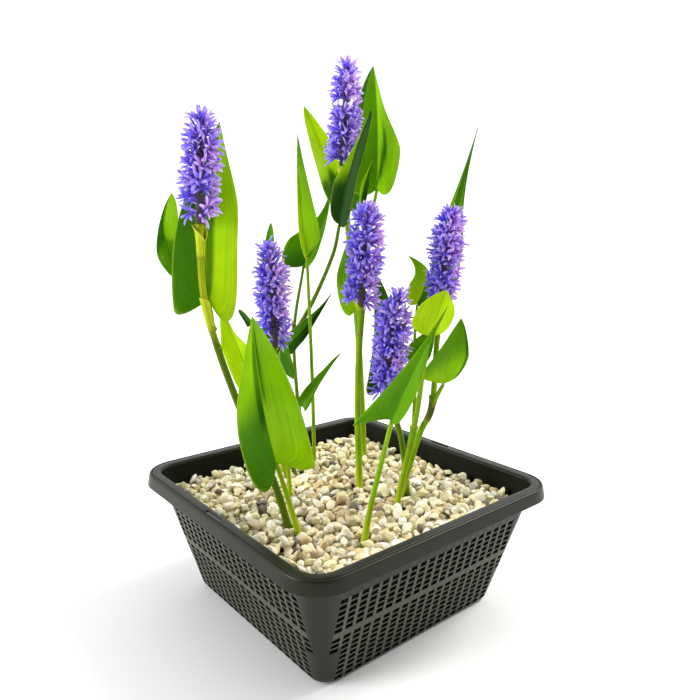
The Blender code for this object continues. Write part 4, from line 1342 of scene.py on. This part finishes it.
def make_petal_material():
    """Violet to lilac by flower, lilac as painted light on the side the light comes from, deeper
    in the throat, paler at the petals' tips as a painted highlight.
    """
    material, tree, shader = new_material("petal_violet", 0.5, gloss=0.3)
    shade, share, kind = (add_node(tree, "Attribute", attribute_name=name).outputs["Fac"]
                          for name in ("shade", "share", "kind"))
    colour = mix_colours(tree, shade, VIOLET, LILAC)
    throat = ranged(tree, share, 0.0, 0.35, 0.35, 0.0)
    colour = mix_colours(tree, throat, colour, THROAT_BLUE)
    # Painted highlight: the petals' tips are made paler.
    tips = ranged(tree, share, 0.45, 1.0, 0.0, 0.6)
    colour = mix_colours(tree, tips, colour, PAINTED_HIGHLIGHT_TIP)
    others = ((TUBE_KIND, TUBE_BLUE), (STAMEN_KIND, STAMEN_PURPLE), (BUD_KIND, BUD_PURPLE))
    for value, tint in others:
        near = add_node(tree, "Math", {0: kind, 1: value, 2: 0.1}, operation="COMPARE")
        colour = mix_colours(tree, near.outputs[0], colour, tint)
    set_skin(tree, shader, colour, grain_on(tree, 0.5, 5)["Height"], 0.06)
    let_light_through(tree, shader, colour)
    return material


def make_axis_material():
    material, tree, shader = new_material("flower_axis", 0.8)
    grain = grain_on(tree, 0.5, 3)
    colour = mix_colours(tree, grain["Patches"], (0.035, 0.030, 0.022), (0.12, 0.10, 0.05))
    set_skin(tree, shader, colour, grain["Height"], 0.4)
    return material


petal_material = make_petal_material()
axis_material = make_axis_material()
form_draw = random.Random(21)
flower_forms = [flower_form(form_draw) for _ in range(FLOWER_FORMS)]
bud_forms = [bud_form(form_draw) for _ in range(BUD_FORMS)]


def turned_to(direction, spin):
    """The turn that takes +Z to a direction, after a spin about it."""
    turn = Vector(direction).to_track_quat("Z", "Y").to_matrix()
    return np.array(turn @ Matrix.Rotation(spin, 3, "Z"))


def make_spike(number, length, lean, radius, flowers, gaps, lowest=0.05):
    """The spike on flower_stem_NUMBER. lowest is the share of its length where the flowers
    begin, and gaps are (low share, high share, half angle, angle from the photo's side).
    """
    draw = random.Random(300 + number)
    stalk = routes[f"flower_stem_{number}"]
    onward = (stalk[-1] - stalk[-2]).normalized()
    base = stalk[-1] + onward * GAP
    tip = base + Vector((*lean, length))
    axis = (tip - base).normalized()
    across = (Vector((1, 0, 0)) - axis * axis.x).normalized()
    over = axis.cross(across)
    core = length - 0.95 * radius
    copies = []

    def add(form, share, azimuth, tilt, size, reach, shade):
        verts, faces, values = form
        centre = base + axis * (share * core)
        flat = across * math.cos(azimuth) + over * math.sin(azimuth)
        direction = (flat * math.cos(tilt) + axis * math.sin(tilt)).normalized()
        turn = turned_to(direction, draw.uniform(0, 2 * math.pi))
        placed = verts @ turn.T * size + np.array(centre + direction * reach)
        copies.append((placed, faces, {"shade": shade, **values}))

    for k in range(flowers):
        share = lowest + (1 - lowest) * (k + 0.5) / flowers
        azimuth = k * GOLDEN_ANGLE + draw.uniform(-0.25, 0.25)
        share = min(1.0, max(0.0, share + draw.uniform(-0.012, 0.012)))
        facing = math.remainder(azimuth - PHOTO_SIDE, 2 * math.pi)
        in_gap = any(low < share < high and abs(facing - aside) < wide
                     for low, high, wide, aside in gaps)
        turns = WHORLS_PER_MM * length * share
        whorl = math.sin(2 * math.pi * turns + 0.7 * math.sin(azimuth))
        if in_gap or whorl < SPARSE_UNDER and draw.random() < 0.5:
            continue
        upward = max(0.0, share - TOP_FROM) / (1 - TOP_FROM)
        tilt = math.radians(draw.uniform(2, 28) + 62 * upward)
        if share < FOOT_UNDER:
            tilt = math.radians(draw.uniform(-12, 14))
        size = (radius / 15.0) * (draw.uniform(0.90, 1.10) + 0.08 * whorl)
        # Painted light: flowers on the side the light comes from lean to lilac, those away from
        # it to violet, with random tone on top.
        lit = math.cos(azimuth - LIGHT_SIDE)
        shade = min(1.0, max(0.0, 0.40 + 0.40 * lit + draw.uniform(-0.45, 0.45)))
        add(draw.choice(flower_forms), share, azimuth, tilt, size, 2.0, shade)
    for _ in range(int(length * BUDS_PER_MM)):
        share = draw.uniform(0.02, 0.98)
        azimuth = draw.uniform(0, 2 * math.pi)
        add(draw.choice(bud_forms), share, azimuth, math.radians(draw.uniform(10, 50)),
            draw.uniform(0.75, 1.1), 1.6, draw.random())
    petals = join_copies(f"spike_flowers_{number}", copies, petal_material)

    last = AXIS_RINGS - 1
    route = [base + axis * (core + 4) * (k / last) for k in range(AXIS_RINGS)]
    radii = [AXIS_RADIUS - AXIS_TAPER * k / last + AXIS_LUMPS * math.sin(k * 2.1)
             for k in range(AXIS_RINGS)]
    rachis = tube_object(f"spike_axis_{number}", route, radii, axis_material)
    for piece in (petals, rachis):
        stands_for(piece, "flower", f"flower_spike_{number}")


make_spike(1, length=72, lean=(5, 3), radius=15.0, flowers=88, lowest=0.075,
           gaps=((0.165, 0.31, 0.42, 0.0), (0.35, 0.40, 0.3, -0.1), (0.48, 0.56, 0.25, 0.0),
                 (0.60, 0.72, 0.35, -0.1), (0.0, 0.11, 0.2, 0.3)))
make_spike(2, length=85, lean=(0, -3), radius=16.0, flowers=84, lowest=0.06,
           gaps=((0.20, 0.28, 0.4, 0.0), (0.52, 0.60, 0.35, -0.1)))
make_spike(3, length=83, lean=(6, 1), radius=16.0, flowers=94,
           gaps=((0.10, 0.26, 0.4, 0.0), (0.40, 0.52, 0.4, 0.3), (0.64, 0.73, 3.2, 0.0)))
make_spike(4, length=78, lean=(6, 2), radius=15.5, flowers=86,
           gaps=((0.10, 0.20, 0.4, 0.0), (0.44, 0.52, 0.4, 0.0), (0.66, 0.72, 0.4, 0.0)))
make_spike(5, length=74, lean=(3, 7), radius=15.0, flowers=82,
           gaps=((0.28, 0.44, 0.42, 0.0), (0.60, 0.66, 0.4, 0.2)))
make_spike(6, length=81, lean=(8, 4), radius=15.5, flowers=88,
           gaps=((0.34, 0.42, 0.4, -0.1), (0.54, 0.64, 0.4, 0.0)))


# The studio: a plain pale floor, soft light from the right and behind, a wide soft fill from
# the left, and the camera at the photograph's place.
FLOOR_GREY = (0.86, 0.86, 0.86, 1)
FLOOR_DROP = 0.4 * MM
DARK_SIDE = {"from": 0.35, "to": 0.85, "bright": 1.3, "dim": 0.15}


def make_floor():
    bm = bmesh.new()
    bmesh.ops.create_grid(bm, x_segments=2, y_segments=2, size=6.0)
    material, _, shader = new_material("pale_floor", 0.9)
    shader.inputs["Base Color"].default_value = FLOOR_GREY
    floor = object_from(bm, "floor", material)
    floor.location.z = -FLOOR_DROP


def add_sun(name, azimuth, elevation, strength, softness, colour):
    """A sun that shines from a direction in degrees, anticlockwise from +X, and a height."""
    light = bpy.data.lights.new(name, "SUN")
    light.energy = strength
    light.angle = math.radians(softness)
    light.color = colour
    a, e = math.radians(azimuth), math.radians(elevation)
    toward = Vector((math.cos(a) * math.cos(e), math.sin(a) * math.cos(e), math.sin(e)))
    add_object(name, light).rotation_euler = toward.to_track_quat("Z", "Y").to_euler()


def make_world():
    """A white studio that is dark on the photographer's side; the camera sees plain white."""
    world = bpy.data.worlds.new("studio")
    world.use_nodes = True
    tree = world.node_tree
    toward = Vector((math.cos(PHOTO_SIDE), math.sin(PHOTO_SIDE), 0.35)).normalized()
    direction = add_node(tree, "TexCoord").outputs["Generated"]
    facing = add_node(tree, "VectorMath", {0: direction, 1: toward}, operation="DOT_PRODUCT")
    level = ranged(tree, facing.outputs["Value"], DARK_SIDE["from"], DARK_SIDE["to"],
                   DARK_SIDE["bright"], DARK_SIDE["dim"])
    seen = add_node(tree, "LightPath").outputs["Is Camera Ray"]
    background = tree.nodes["Background"]
    tree.links.new(maths(tree, "MAXIMUM", seen, level), background.inputs["Strength"])
    background.inputs["Color"].default_value = (1, 1, 1, 1)
    bpy.context.scene.world = world


make_floor()
add_sun("key_light", 75, 42, 2.8, 25, (1.0, 0.98, 0.94))
add_sun("left_light", -112, 22, 2.6, 30, (1.0, 1.0, 1.0))
make_world()
bpy.context.scene.view_settings.view_transform = "Standard"

# The photograph's camera, fitted to the basket's walls, rim and foot
camera = add_object("camera", bpy.data.cameras.new("camera"))
camera.location = (0.3673, -0.2964, 0.2873)
camera.rotation_euler = (math.radians(78.64), 0, math.radians(50.33))
camera.data.lens = 33.68
camera.data.sensor_width = 36.0
camera.data.clip_start = 0.02
bpy.context.scene.camera = camera
